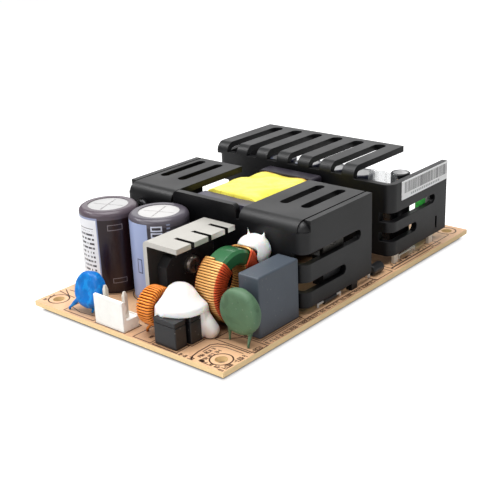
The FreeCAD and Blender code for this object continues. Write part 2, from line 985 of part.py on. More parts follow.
def small_ring_winding():
    """The small choke's winding with its two wire ends down to the board."""
    half_open = ring_open_angle / 2
    winding = ring_winding(
        ring_centre, (0, -1, 0), ring_core_radius, ring_core_hole, ring_core_width, ring_wire, ring_turns,
        -90 + half_open, 270 - half_open,
    )
    ends = []
    for side in (-1, 1):
        angle = -90 + side * (half_open + 6)
        start = ring_point(ring_centre, ring_reach - ring_wire * 0.4, angle, ring_y)
        foot_x = ring_x + ring_lead_shift + side * ring_lead_step
        foot_y = ring_y + ring_lead_offset
        bend = (foot_x, foot_y, top + ring_wire)
        ends.append(lead(foot_x, foot_y, ring_wire, ring_wire))
        ends.append(Part.makeSphere(ring_wire / 2, Vector(*bend)))
        ends.append(rod(bend, start, ring_wire))
    return joined([winding] + ends)


def choke_winding(start, end):
    """One winding of the common mode choke with its two wire ends."""
    winding = ring_winding(
        choke_centre, (0, -1, 0), choke_core_radius, choke_core_hole, choke_core_width, choke_wire,
        choke_turns, start, end,
    )
    low_side = -1 if start > 90 else 1
    ends = []
    for y_side in (-1, 1):
        foot_x = choke_x + low_side * (choke_reach * 0.42)
        foot_y = choke_y + y_side * (choke_half - choke_wire / 2)
        rise = choke_reach * 0.27
        pads.append((foot_x, foot_y))
        ends.append(rod((foot_x, foot_y, top), (foot_x, foot_y, top + seat_gap + rise), choke_wire))
    return joined([winding] + ends)


def ring_space(centre, reach, half):
    """The disc that a wound ring fills, a little larger all round."""
    low = Vector(centre[0], centre[1] - half - skin_gap, centre[2])
    return Part.makeCylinder(reach + skin_gap, 2 * (half + skin_gap), low, Vector(0, 1, 0))


# Silicone mounds
def around_point(x, y, head):
    """An upright block round a point, from the board up to head, wider than any mound."""
    return block(x - mound_reach, x + mound_reach, y - mound_reach, y + mound_reach, top, head)


def fuse_mound():
    """White silicone over the fuses and against both chokes, with a lobe down to the board."""
    r = mound_radius
    waist = top + mound_waist_height
    crown = waist + r
    slope = math.sqrt(0.5)
    foot_point = Vector(mound_foot_radius, 0, top)
    side_point = Vector((mound_foot_radius + r) / 2 + 0.45, 0, (top + waist) / 2)
    edge_point = Vector(r, 0, waist)
    dome_point = Vector(r * slope, 0, waist + r * slope)
    profile = [
        Part.Arc(foot_point, side_point, edge_point).toShape(),
        Part.Arc(edge_point, dome_point, Vector(0, 0, crown)).toShape(),
        Part.LineSegment(Vector(0, 0, crown), Vector(0, 0, top)).toShape(),
        Part.LineSegment(Vector(0, 0, top), foot_point).toShape(),
    ]
    dome = turned(profile, (mound_x, mound_y, 0), (0, 0, 1))
    half = mound_lobe / 2
    low = Vector(mound_x + 3.4, mound_y - 7.4, top + half * 0.8)
    high = Vector(mound_x + 2.0, mound_y - 4.2, top + mound_waist_height)
    reach = high - low
    lobe = Part.makeCylinder(half, reach.Length, low, reach).fuse(Part.makeSphere(half, low))
    lobe = lobe.common(around_point(low.x, low.y, crown))
    mound = joined([dome, lobe])
    bridge_front = bracket_y - bracket_sheet - bridge_thickness
    around = [
        fuse_space(),
        ring_space(ring_centre, ring_reach, ring_half),
        ring_space(choke_centre, choke_reach, choke_half),
        block(mound_x - mound_reach, mound_x + mound_reach, bridge_front - skin_gap, bracket_y, top, crown),
        block(ring_x - 5, ring_x + 6, ring_y - ring_wire, bracket_y, top, top + ring_lift + ring_wire * 2),
    ]
    mound = mound.cut(around)
    return max(mound.Solids, key=lambda solid: solid.Volume)


def choke_bead():
    """White silicone between the big choke's shoulder and the front heatsink, with pulled tips."""
    z = top + bead_height
    bead = Part.makeSphere(bead_radius, Vector(bead_x, bead_y, z))
    crown = z + bead_radius * 0.9
    left_root = Vector(bead_x - 0.4, bead_y + 1.0, crown - 0.3)
    right_root = Vector(bead_x + 2.0, bead_y - 2.0, crown - 1.2)
    left_tip = Part.makeCone(0.7, 0.12, bead_tip + 0.6, left_root, Vector(-0.1, 0.1, 1))
    right_tip = Part.makeCone(0.7, 0.12, bead_tip, right_root, Vector(0.2, -0.1, 1))
    bead = joined([bead, left_tip, right_tip])
    bead = bead.cut(ring_space(choke_centre, choke_reach, choke_half))
    y0 = bead_y - mound_reach
    y1 = bead_y + mound_reach
    bead = bead.cut(block(front_wall_x - skin_gap, 0, y0, y1, top, z + mound_reach))
    return max(bead.Solids, key=lambda solid: solid.Volume)


# Film capacitor
def film_capacitor():
    """A boxed film capacitor on small feet."""
    x1 = film_start_x + film_length
    y0 = film_back_y - film_thickness
    head = top + film_height
    body = block(film_start_x, x1, y0, film_back_y, top + seat_gap, head)
    edges = [edge for edge in body.Edges if edge.CenterOfMass.z > top + seat_gap + 0.01]
    body = body.makeFillet(film_edge, edges)
    middle_x = film_start_x + film_length / 2
    middle_y = film_back_y - film_thickness / 2
    feet = leads_across(middle_x, middle_y, seat_gap, film_lead_pitch, 2, True)
    return joined([body] + feet)


# Main transformer
def core_half(side):
    """One ferrite half: a yoke with two outer legs and a centre leg that meet the other half."""
    yoke_x1 = core_yoke_x + core_yoke
    middle = core_middle_x()
    foot = top + core_foot
    head = top + core_height
    points = [
        (core_yoke_x, core_right_y, foot),
        (core_yoke_x, core_right_y, head),
        (core_yoke_x, core_left_y, head),
        (core_yoke_x, core_left_y, foot),
    ]
    shapes = [prism(points, [core_edge] * 4, (core_yoke, 0, 0))]
    for y0, y1 in core_legs():
        shapes.append(block(yoke_x1, middle, y0, y1, foot + core_leg_inset, head - core_leg_inset))
    half = joined(shapes)
    if side > 0:
        half = half.mirror(Vector(middle, 0, 0), Vector(1, 0, 0))
    return half


def core_middle_x():
    """The plane where the two core halves meet."""
    rear_clear = rear_wall_x - screw_head_height - seat_gap
    return (core_yoke_x + rear_clear) / 2


def core_legs():
    """The y span of each leg."""
    centre = (core_right_y + core_left_y) / 2
    half = core_centre_leg / 2
    return [
        (core_right_y, core_right_y + core_leg),
        (centre - half, centre + half),
        (core_left_y - core_leg, core_left_y),
    ]


def transformer_winding():
    """The taped winding block, open where the core legs pass through it."""
    x0 = core_yoke_x + core_yoke
    x1 = 2 * core_middle_x() - x0
    y0 = core_right_y - winding_bulge
    y1 = core_left_y + winding_bulge
    foot = top + core_foot
    head = top + winding_height
    points = [(x0, y0, foot), (x0, y1, foot), (x0, y1, head), (x0, y0, head)]
    body = prism(points, [1.5, 1.5, winding_rounding, winding_rounding], (x1 - x0, 0, 0))
    for leg_y0, leg_y1 in core_legs():
        body = body.cut(
            block(
                x0 - 1, x1 + 1, leg_y0, leg_y1, foot + core_leg_inset, top + core_height - core_leg_inset
            )
        )
    return body


def transformer_bobbin():
    """The bobbin's two pin rails joined by a floor under the winding."""
    x0 = core_yoke_x
    x1 = 2 * core_middle_x() - x0
    foot = top + bobbin_lift
    head = top + core_foot
    left = slab(x0, x0 + bobbin_rail, core_right_y, core_left_y, foot, head, 0.6)
    right = slab(x1 - bobbin_rail, x1, core_right_y, core_left_y, foot, head, 0.6)
    floor = block(x0 + 1, x1 - 1, core_right_y + 1, core_left_y - 1, head - bobbin_floor, head)
    return joined([left, right, floor])


def transformer_pin_set():
    """The pins that carry the bobbin on the board."""
    pins = []
    y = (core_right_y + core_left_y) / 2
    left_x = core_yoke_x + bobbin_rail / 2
    right_x = 2 * core_middle_x() - left_x
    for x in (left_x, right_x):
        pins.extend(leads_across(x, y, bobbin_lift, transformer_pin_pitch, transformer_pins, False))
    return Part.makeCompound(pins)


# Power devices
def tab_device(height):
    """A power package in its own frame: tab flat on x = 0, leads down, facing +X."""
    half = device_width / 2
    tab_foot = height - device_tab
    body_foot = tab_foot - device_body
    tab = block(0, device_tab_thickness, -half, half, tab_foot, height)
    body = prism(
        [(0, -half, body_foot), (0, half, body_foot), (0, half, tab_foot), (0, -half, tab_foot)],
        [0, 0, 0, 0],
        (device_thickness, 0, 0),
    )
    edges = [edge for edge in body.Edges if edge.CenterOfMass.x > device_thickness - 0.01]
    body = body.makeChamfer(0.6, edges)
    shapes = [tab, body]
    lead_x = device_thickness * 0.55
    for i in (-1, 0, 1):
        y = i * device_lead_pitch
        shapes.append(
            block(
                lead_x, lead_x + device_lead_thickness, y - device_lead_width / 2, y + device_lead_width / 2,
                0, body_foot,
            )
        )
    device = joined(shapes)
    hole_z = height - device_hole_drop
    return device.cut(rod((-1, 0, hole_z), (device_thickness, 0, hole_z), screw_diameter))


def placed_device(height, x, y, turn):
    """A power package set against a wall, with its solder joints noted."""
    device = tab_device(height)
    device.rotate(Vector(0, 0, 0), Vector(0, 0, 1), turn)
    device.translate(Vector(x, y, top))
    lead_x = device_thickness * 0.55 + device_lead_thickness / 2
    angle = math.radians(turn)
    for i in (-1, 0, 1):
        side = i * device_lead_pitch
        pads.append((
            x + lead_x * math.cos(angle) - side * math.sin(angle),
            y + lead_x * math.sin(angle) + side * math.cos(angle),
        ))
    return device


# Insulation film
def insulation_film():
    """A clear crinkled sheet that stands on the board behind the rear heatsink's wall."""
    points = []
    steps = film_sheet_waves * 2
    for i in range(steps + 1):
        y = film_sheet_start_y + (film_sheet_end_y - film_sheet_start_y) * i / steps
        x = film_sheet_x + film_sheet_wave * (1 if i % 2 else -1) / 2
        points.append(Vector(x, y, top))
    curve = Part.BSplineCurve()
    curve.interpolate(points)
    front = curve.toShape()
    back = front.copy()
    back.translate(Vector(film_sheet, 0, 0))
    closing = [
        Part.LineSegment(points[-1], points[-1] + Vector(film_sheet, 0, 0)).toShape(),
        Part.LineSegment(points[0] + Vector(film_sheet, 0, 0), points[0]).toShape(),
    ]
    wire = Part.Wire(Part.__sortEdges__([front, closing[0], back, closing[1]]))
    return Part.Face(wire).extrude(Vector(0, 0, film_sheet_height))


# Output filter
def output_coil_parts():
    """The output choke: a ring core lying flat, and its winding."""
    centre = (coil_x, coil_y, top + seat_gap + coil_core_width / 2 + coil_wire)
    core = ring_core(centre, coil_core_radius, coil_core_hole, coil_core_width, (0, 0, 1))
    winding = ring_winding(
        centre, (0, 0, 1), coil_core_radius, coil_core_hole, coil_core_width, coil_wire, coil_turns, 15, 345
    )
    reach = coil_core_radius + coil_wire * 0.3
    ends = []
    for angle in (20, 340):
        x = coil_x + reach * math.cos(math.radians(angle))
        y = coil_y + reach * math.sin(math.radians(angle))
        ends.append(lead(x, y, seat_gap + coil_wire * 0.9, coil_wire))
    return core, joined([winding] + ends)


# Small parts on the board
def chip(x, y, pins_per_side):
    """A dual in-line package with pins along both long sides."""
    length = pins_per_side * chip_pitch
    half_w = chip_width / 2
    foot = top + chip_lift
    head = foot + chip_height
    mid = foot + chip_height / 2
    slant = chip_slant
    half_pin = chip_pin_width / 2
    half_arm = chip_arm_width / 2
    thin = chip_pin_thickness / 2
    points = [
        (x - half_w + slant, y - length / 2, foot),
        (x - half_w, y - length / 2, mid),
        (x - half_w + slant, y - length / 2, head),
        (x + half_w - slant, y - length / 2, head),
        (x + half_w, y - length / 2, mid),
        (x + half_w - slant, y - length / 2, foot),
    ]
    shapes = [prism(points, [0] * 6, (0, length, 0))]
    for side in (-1, 1):
        for i in range(pins_per_side):
            pin_y = y + (i - (pins_per_side - 1) / 2) * chip_pitch
            outer = x + side * chip_row / 2
            inner = x + side * (half_w - slant)
            x0, x1 = min(outer, inner), max(outer, inner)
            arm = block(x0, x1, pin_y - half_arm, pin_y + half_arm, mid - thin, mid + thin)
            leg = block(outer - thin, outer + thin, pin_y - half_pin, pin_y + half_pin, top, mid + thin)
            pads.append((outer, pin_y))
            shapes.extend([arm, leg])
    return joined(shapes)


def axial_part(x, y, body, diameter, reach):
    """An axial body lying along X, with leads that bend down to the board."""
    radius = diameter / 2
    z = top + radius + 0.1
    half = body / 2
    centre = (x - half, y, z)
    points = [(0, 0), (radius, 0), (radius, body), (0, body)]
    shapes = [turned_outline(points, [0, radius * 0.3, radius * 0.3, 0], centre, (1, 0, 0))]
    for side in (-1, 1):
        bend_x = x + side * (half + reach)
        shapes.append(rod((x + side * (half - 0.5), y, z), (bend_x, y, z), lead_diameter))
        shapes.append(Part.makeSphere(lead_diameter / 2, Vector(bend_x, y, z)))
        shapes.append(lead(bend_x, y, z - top))
    return joined(shapes)


def wire_link(start, end):
    """A bare wire bridge between two pads."""
    z = top + link_height
    shapes = [rod((start[0], start[1], z), (end[0], end[1], z), link_diameter)]
    for x, y in (start, end):
        shapes.append(Part.makeSphere(link_diameter / 2, Vector(x, y, z)))
        shapes.append(lead(x, y, link_height, link_diameter))
    return joined(shapes)


def wire_links():
    """The tinned wire bridges on the board."""
    routes = [
        ((27.3, -33.3), (36.6, -33.3)),
        ((-54.0, 0.6), (-54.0, 9.2)),
    ]
    return Part.makeCompound([wire_link(start, end) for start, end in routes])


# Assembly
parts = {}
parts["circuit_board"] = circuit_board()
parts["front_heatsink"] = front_heatsink()
parts["rear_heatsink"] = rear_heatsink()
parts["rear_heatsink_pins"] = rear_heatsink_pins()
parts["barcode_label"] = barcode_label()
parts["rectifier_bracket"] = rectifier_bracket()
parts["bridge_rectifier"] = bridge_rectifier()
bridge_face_y = bracket_y - bracket_sheet - bridge_thickness
bridge_screw_seat = (bridge_centre(), bridge_face_y, top + bridge_hole_height)
parts["bridge_screw"] = pan_screw(bridge_screw_seat, (0, -1, 0), bracket_sheet + bridge_thickness)
parts["bridge_nut"] = hex_nut((bridge_centre(), bracket_y, top + bridge_hole_height), (0, 1, 0))
parts["bulk_capacitor_can_1"] = bulk_can(bulk_1_x, bulk_1_y)
parts["bulk_capacitor_sleeve_1"] = bulk_sleeve_part(bulk_1_x, bulk_1_y)
parts["bulk_capacitor_can_2"] = bulk_can(bulk_2_x, bulk_2_y)
parts["bulk_capacitor_sleeve_2"] = bulk_sleeve_part(bulk_2_x, bulk_2_y)
parts["blue_varistor"] = coated_disc(
    varistor_x, varistor_y, varistor_diameter, varistor_thickness, varistor_lift, varistor_lead_pitch,
    varistor_lead_offset, 0, varistor_lean, varistor_tilt,
)
parts["green_thermistor"] = coated_disc(
    disc_x, disc_y, disc_diameter, disc_thickness, disc_lift, disc_lead_pitch, disc_lead_offset,
    disc_lean, 0, disc_tilt,
)
parts["input_header"] = header_body(header_x, 1, input_y, input_ways, input_pin_ys())
parts["input_header_pins"] = header_pins(header_x, 1, input_pin_ys())
parts["output_header"] = header_body(-header_x, -1, output_y, output_ways, output_pin_ys())
parts["output_header_pins"] = header_pins(-header_x, -1, output_pin_ys())
parts["fuse_1"] = fuse(fuse_1_x, fuse_1_y)
parts["fuse_2"] = fuse(fuse_2_x, fuse_2_y)
parts["small_choke_core"] = ring_core(
    ring_centre, ring_core_radius, ring_core_hole, ring_core_width, (0, -1, 0)
)
parts["small_choke_winding"] = small_ring_winding()
parts["main_choke_core"] = ring_core(
    choke_centre, choke_core_radius, choke_core_hole, choke_core_width, (0, -1, 0)
)
parts["main_choke_winding_left"] = choke_winding(choke_left_start, choke_left_end)
parts["main_choke_winding_right"] = choke_winding(
    choke_left_end - 360 + choke_low_gap, choke_left_start - choke_top_gap
)
parts["fuse_silicone"] = fuse_mound()
parts["choke_silicone"] = choke_bead()
parts["film_capacitor"] = film_capacitor()
parts["transformer_core_front"] = core_half(-1)
parts["transformer_core_rear"] = core_half(1)
parts["transformer_winding"] = transformer_winding()
parts["transformer_bobbin"] = transformer_bobbin()
parts["transformer_pins"] = transformer_pin_set()
front_seat_x = front_wall_x + sheet
parts["front_transistor_1"] = placed_device(front_device_height, front_seat_x, front_device_1_y, 0)
parts["front_transistor_2"] = placed_device(front_device_height, front_seat_x, front_device_2_y, 0)
parts["boost_diode"] = placed_device(side_device_height, side_device_x, front_right_y + sheet, 90)
rear_seat_x = rear_wall_x + sheet
rear_ys = (rear_device_1_y, rear_device_2_y, rear_device_3_y)
for number, device_y in enumerate(rear_ys, 1):
    parts[f"output_rectifier_{number}"] = placed_device(rear_device_height, rear_seat_x, device_y, 0)
front_hole_z = top + front_device_height - device_hole_drop
rear_hole_z = top + rear_device_height - device_hole_drop
grip = sheet + device_tab_thickness
front_screws = [
    pan_screw((front_wall_x, y, front_hole_z), (-1, 0, 0), grip) for y in (front_device_1_y, front_device_2_y)
]
rear_screws = [pan_screw((rear_wall_x, y, rear_hole_z), (-1, 0, 0), grip) for y in rear_ys]
parts["device_screws"] = Part.makeCompound(front_screws + rear_screws)
front_nuts = [
    hex_nut((front_wall_x + grip, y, front_hole_z), (1, 0, 0)) for y in (front_device_1_y, front_device_2_y)
]
rear_nuts = [hex_nut((rear_wall_x + grip, y, rear_hole_z), (1, 0, 0)) for y in rear_ys]
parts["device_nuts"] = Part.makeCompound(front_nuts + rear_nuts)
parts["insulation_film"] = insulation_film()
for number in range(output_caps):
    parts[f"output_capacitor_{number + 1}"] = radial_capacitor(
        output_cap_x, output_cap_first_y + number * output_cap_pitch, output_cap_diameter,
        output_cap_height, output_cap_lead_pitch, False,
    )
parts["tall_capacitor"] = radial_capacitor(
    tall_cap_x, tall_cap_y, tall_cap_diameter, tall_cap_height, small_cap_lead_pitch, True
)
parts["output_choke_core"], parts["output_choke_winding"] = output_coil_parts()
parts["green_capacitor"] = radial_capacitor(
    green_cap_x, green_cap_y, green_cap_diameter, green_cap_height, small_cap_lead_pitch, True
)
parts["control_chip"] = chip(controller_x, controller_y, controller_pins)
parts["optocoupler_1"] = chip(coupler_x, coupler_1_y, coupler_pins)
parts["optocoupler_2"] = chip(coupler_x, coupler_2_y, coupler_pins)
parts["small_capacitor"] = radial_capacitor(
    small_cap_x, small_cap_y, small_cap_diameter, small_cap_height, small_cap_lead_pitch, True
)
parts["front_diode"] = axial_part(diode_1_x, diode_1_y, diode_1_body, diode_1_diameter, diode_1_lead_reach)
parts["middle_diode"] = axial_part(diode_2_x, diode_2_y, diode_2_body, diode_2_diameter, diode_2_lead_reach)
parts["wire_links"] = wire_links()
parts["solder_joints"] = solder_joints()

os.makedirs("parts", exist_ok=True)
for name, shape in parts.items():
    shape.exportStep(f"parts/{name}.step")
    box = shape.BoundBox
    print(
        f"{name}: {len(shape.Solids)} solid, {shape.Volume:.1f} mm3, "
        f"x {box.XMin:.1f} {box.XMax:.1f} y {box.YMin:.1f} {box.YMax:.1f} z {box.ZMin:.1f} {box.ZMax:.1f}"
    )
print(f"{len(parts)} parts, {len(pads)} solder joints")
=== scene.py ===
# %% [markdown]
# # Looks of an open frame power supply
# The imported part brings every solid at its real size. This lesson adds the surfaces and the
# small things that a solid model leaves out: wire turns, printed marks, tape, silicone and paper.
# Lengths are millimetres in the part's own frame, and MM turns them into metres. TOP is the upper
# face of the circuit board, from which most heights are taken.

import bpy
import bmesh
import math
import random
from mathutils import Matrix, Vector, noise


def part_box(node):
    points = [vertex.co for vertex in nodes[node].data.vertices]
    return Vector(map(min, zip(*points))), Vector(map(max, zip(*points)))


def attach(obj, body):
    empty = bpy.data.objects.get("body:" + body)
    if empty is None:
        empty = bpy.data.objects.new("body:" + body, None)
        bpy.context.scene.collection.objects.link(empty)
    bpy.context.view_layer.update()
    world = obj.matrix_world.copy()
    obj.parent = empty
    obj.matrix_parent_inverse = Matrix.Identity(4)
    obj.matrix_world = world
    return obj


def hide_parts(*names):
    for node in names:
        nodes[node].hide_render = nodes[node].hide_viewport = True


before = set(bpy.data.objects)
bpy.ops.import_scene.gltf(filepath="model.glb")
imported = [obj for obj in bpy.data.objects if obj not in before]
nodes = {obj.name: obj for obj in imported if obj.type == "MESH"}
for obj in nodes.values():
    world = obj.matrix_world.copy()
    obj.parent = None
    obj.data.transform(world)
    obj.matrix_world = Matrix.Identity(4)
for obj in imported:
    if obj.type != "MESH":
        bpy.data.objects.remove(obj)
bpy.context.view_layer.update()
MM = 0.001
TOP = 3.2
print("nodes:", len(nodes))

# %% [markdown]
# ## Helpers
# A shader graph is easier to read when a node, its settings and its inputs stand on one line.
# An input is either a plain value or the output socket of another node. Blender knows which graph
# a node or socket belongs to (its id_data), so the helpers don't have to be told.


# %% Shader helpers
def fill(node, inputs):
    """Fills or links a node's inputs, named by their label or as i0, i1 and so on."""
    for key, value in inputs.items():
        index = int(key[1:]) if key[0] == "i" and key[1:].isdigit() else key.replace("_", " ")
        if isinstance(value, bpy.types.NodeSocket):
            node.id_data.links.new(value, node.inputs[index])
        else:
            node.inputs[index].default_value = value
    return node


def add(near, kind, props=None, **inputs):
    """Adds a node to the graph that near is, or is a part of, and fills its inputs."""
    node = near.id_data.nodes.new("ShaderNode" + kind)
    for key, value in (props or {}).items():
        setattr(node, key, value)
    return fill(node, inputs)


def calc(operation, *values):
    """One step of arithmetic on sockets and numbers."""
    near = next(value for value in values if isinstance(value, bpy.types.NodeSocket))
    inputs = {f"i{i}": value for i, value in enumerate(values)}
    return add(near, "Math", {"operation": operation}, **inputs).outputs[0]


def product(first, *others):
    """Masks multiplied from left to right; the first has to be a socket."""
    for other in others:
        first = calc("MULTIPLY", first, other)
    return first


def below(value, limit):
    """1 where a value is lower than a limit."""
    return calc("LESS_THAN", value, limit)


def above(value, limit):
    """1 where a value is higher than a limit."""
    return calc("GREATER_THAN", value, limit)


def inverse(mask):
    """1 where a mask is 0."""
    return calc("SUBTRACT", 1.0, mask)


def blend_colours(mask, first, second):
    """Goes from the first colour to the second where the mask is 1."""
    return add(mask, "Mix", {"data_type": "RGBA"}, i0=mask, i6=first, i7=second).outputs[2]


def rgb(red, green, blue):
    """A screen colour from 0 to 255 as the linear value that a shader takes."""
    linear = []
    for value in (red, green, blue):
        value = value / 255
        linear.append(value / 12.92 if value <= 0.04045 else ((value + 0.055) / 1.055) ** 2.4)
    return (*linear, 1.0)


print("white as a linear colour:", rgb(255, 255, 255))

# %% [markdown]
# A group is a small graph with named sockets, made once and used in many materials. A material
# starts with one Principled shader, and its patterns follow the surface's place in the part's frame.


# %% Groups, materials, places and objects
def new_group(name, inputs, **outputs):
    """An empty shader group: an input is a number, or "Vector" or "Color", and an output a kind."""
    group = bpy.data.node_groups.new(name, "ShaderNodeTree")
    for label, value in inputs.items():
        kind = value if isinstance(value, str) else "Float"
        socket = group.interface.new_socket(label, in_out="INPUT", socket_type="NodeSocket" + kind)
        if kind == "Float":
            socket.default_value = value
    for label, kind in outputs.items():
        group.interface.new_socket(label, in_out="OUTPUT", socket_type="NodeSocket" + kind)
    start = group.nodes.new("NodeGroupInput").outputs
    end = group.nodes.new("NodeGroupOutput").inputs
    return group, start, end


def use(group, **inputs):
    """Puts a shader group beside its linked inputs and returns its outputs."""
    near = next(value for value in inputs.values() if isinstance(value, bpy.types.NodeSocket))
    return fill(add(near, "Group", {"node_tree": group}), inputs).outputs


def new_material(name, **settings):
    """A material with one Principled shader; returns the material and the shader."""
    material = bpy.data.materials.new(name)
    material.use_nodes = True
    shader = next(node for node in material.node_tree.nodes if node.type == "BSDF_PRINCIPLED")
    return material, fill(shader, settings)


def drive(shader, name, value):
    """Links a value, a colour or a normal to one input of a shader."""
    shader.id_data.links.new(value, shader.inputs[name])


def place(shader):
    """The point on the surface in the part's frame, in metres."""
    return add(shader, "TexCoord").outputs["Object"]


def split(vector):
    """The three numbers of a vector."""
    return add(vector, "SeparateXYZ", i0=vector).outputs


def surface_mm(shader, axis):
    """Where the surface is along one axis (0, 1 or 2), in millimetres."""
    return calc("DIVIDE", split(place(shader))[axis], MM)


def above_board(shader):
    """The height of the surface above the board, in millimetres."""
    return calc("SUBTRACT", surface_mm(shader, 2), TOP)


def soft_noise(where, scale, detail, **more):
    """A cloudy pattern as one value."""
    return add(where, "TexNoise", None, Vector=where, Scale=scale, Detail=detail, **more).outputs[0]


def open_sky(shader, reach):
    """1 in the open, lower where other surfaces stand within reach (in metres)."""
    return add(shader, "AmbientOcclusion", {"samples": 6}, Distance=reach).outputs["AO"]


def new_object(name, data):
    """Makes an object and puts it into the scene."""
    made = bpy.data.objects.new(name, data)
    bpy.context.scene.collection.objects.link(made)
    return made


print("materials before dressing:", len(bpy.data.materials))

# %% [markdown]
# ## Effects that several materials share
# Real surfaces are never one colour: moulding, dust and handling make soft clouds and small specks.
# Each effect is a group that gives a colour, a mask or a normal, and every material sets its own scale.


# %% Clouds, relief and specks
def make_clouds():
    """Soft light and dark clouds on a base colour."""
    group, start, end = new_group(
        "colour_clouds", {"Place": "Vector", "Scale": 200.0, "Amount": 0.1, "Colour": "Color"},
        Colour="Color",
    )
    cloud = soft_noise(start["Place"], start["Scale"], 4.0, Roughness=0.6)
    centred = calc("SUBTRACT", cloud, 0.5)
    gain = calc("MULTIPLY_ADD", centred, product(start["Amount"], 3.0), 1.0)
    scaled = add(group, "VectorMath", {"operation": "SCALE"}, i0=start["Colour"], Scale=gain)
    group.links.new(scaled.outputs[0], end["Colour"])
    return group


def make_relief():
    """A normal from two sizes of small bumps."""
    group, start, end = new_group(
        "fine_relief", {"Place": "Vector", "Scale": 800.0, "Height": 0.02, "Grain": 0.3}, Normal="Vector"
    )
    broad = soft_noise(start["Place"], start["Scale"], 3.0)
    fine = soft_noise(start["Place"], product(start["Scale"], 7.0), 2.0)
    height = calc("MULTIPLY_ADD", fine, start["Grain"], broad)
    metres = product(start["Height"], MM)
    bump = add(group, "Bump", None, Strength=1.0, Distance=metres, Height=height)
    group.links.new(bump.outputs[0], end["Normal"])
    return group


def make_specks():
    """A mask of small round specks, such as dust or filler grains."""
    group, start, end = new_group(
        "specks", {"Place": "Vector", "Scale": 900.0, "Size": 0.2}, Mask="Float"
    )
    cells = add(start["Place"], "TexVoronoi", None, Vector=start["Place"], Scale=start["Scale"])
    near = below(cells.outputs["Distance"], start["Size"])
    random_cell = add(group, "SeparateColor", i0=cells.outputs["Color"]).outputs[0]
    kept = above(random_cell, 0.6)
    group.links.new(product(near, kept), end["Mask"])
    return group


clouds = make_clouds()
relief = make_relief()
specks = make_specks()
print("shader groups:", [group.name for group in bpy.data.node_groups])

# %% [markdown]
# Prints and stripes need masks with clean limits: a band between two values, the turn about a
# can's axis, and rows of short bars that stand for small print without saying anything.


# %% Band, turn and rows
def make_band():
    """1 between two limits, with soft ends."""
    group, start, end = new_group(
        "band", {"Value": 0.0, "From": 0.0, "To": 1.0, "Soft": 0.0001}, Mask="Float"
    )
    rise = calc("DIVIDE", calc("SUBTRACT", start["Value"], start["From"]), start["Soft"])
    fall = calc("DIVIDE", calc("SUBTRACT", start["To"], start["Value"]), start["Soft"])
    lower = add(group, "Clamp", None, Value=rise).outputs[0]
    upper = add(group, "Clamp", None, Value=fall).outputs[0]
    group.links.new(product(lower, upper), end["Mask"])
    return group


def make_around():
    """The turn about an upright axis (-1 to 1, 0 towards +X), the radius and the height."""
    group, start, end = new_group(
        "around_axis", {"Place": "Vector", "Axis X": 0.0, "Axis Y": 0.0},
        Turn="Float", Radius="Float", Height="Float",
    )
    x, y, z = split(start["Place"])
    dx = calc("SUBTRACT", calc("DIVIDE", x, MM), start["Axis X"])
    dy = calc("SUBTRACT", calc("DIVIDE", y, MM), start["Axis Y"])
    angle = calc("DIVIDE", calc("ARCTAN2", dy, dx), math.pi)
    squares = calc("MULTIPLY_ADD", dx, dx, product(dy, dy))
    group.links.new(angle, end["Turn"])
    group.links.new(calc("SQRT", squares), end["Radius"])
    group.links.new(calc("SUBTRACT", calc("DIVIDE", z, MM), TOP), end["Height"])
    return group


def make_rows():
    """Rows of short bars of uneven length: a plain stand-in for small print."""
    group, start, end = new_group(
        "printed_rows", {"Along": 0.0, "Across": 0.0, "Pitch": 1.0, "Fill": 0.55}, Mask="Float"
    )
    row = calc("DIVIDE", start["Across"], start["Pitch"])
    inside = below(calc("FRACT", row), 0.45)
    column = product(start["Along"], 2.2)
    level = product(calc("FLOOR", row), 7.3)
    spot = add(group, "CombineXYZ", None, i0=column, i1=level)
    pieces = soft_noise(spot.outputs[0], 1.0, 0.0)
    bars = below(pieces, start["Fill"])
    group.links.new(product(inside, bars), end["Mask"])
    return group


band = make_band()
around = make_around()
rows = make_rows()


def within(value, low, high, soft):
    """1 where a value lies between two limits, fading over a soft width."""
    return use(band, Value=value, From=low, To=high, Soft=soft)["Mask"]


def patch(along, low, high, across, bottom, top, soft):
    """1 inside a rectangle of two values."""
    return product(within(along, low, high, soft), within(across, bottom, top, soft))


print("shader groups:", len(bpy.data.node_groups))

# %% [markdown]
# ## A material in one call
# Most pieces need the same three things: a clouded colour, a fine relief and a few specks.
# The function below lays them out; pieces with prints or bands add their own nodes after it.


# %% General material
def finish(name, colour, rough, cloud=(300.0, 0.08), bumps=(700.0, 0.02, 0.3), dust=0.0, **settings):
    """A clouded, slightly uneven surface: cloud is (scale, amount), bumps (scale, height, grain)."""
    material, shader = new_material(name, Roughness=rough, **settings)
    where = place(shader)
    shade = use(clouds, Place=where, Scale=cloud[0], Amount=cloud[1], Colour=colour)["Colour"]
    if dust:
        spots = use(specks, Place=where, Scale=650.0, Size=0.16)["Mask"]
        shade = blend_colours(product(spots, dust), shade, rgb(205, 200, 190))
    drive(shader, "Base Color", shade)
    normal = use(relief, Place=where, Scale=bumps[0], Height=bumps[1], Grain=bumps[2])["Normal"]
    drive(shader, "Normal", normal)
    return material, shader


def recolour(shader, mask, colour, strength=None):
    """Paints a colour over what the shader has, where the mask is 1; strength thins the paint."""
    if strength is not None:
        mask = product(mask, strength)
    under = shader.inputs["Base Color"].links[0].from_socket
    drive(shader, "Base Color", blend_colours(mask, under, colour))


def soften_edges(shader, radius):
    """Rounds the sharp edges of sheet and mouldings in the light, without moving them."""
    under = shader.inputs["Normal"].links[0].from_socket
    rounded = add(shader, "Bevel", {"samples": 6}, Radius=radius * MM, Normal=under)
    drive(shader, "Normal", rounded.outputs[0])


def dress(material, *names):
    """Gives CAD nodes their material."""
    for name in names:
        mesh = nodes[name].data
        mesh.materials.clear()
        mesh.materials.append(material)
    print(material.name, "on", ", ".join(names))


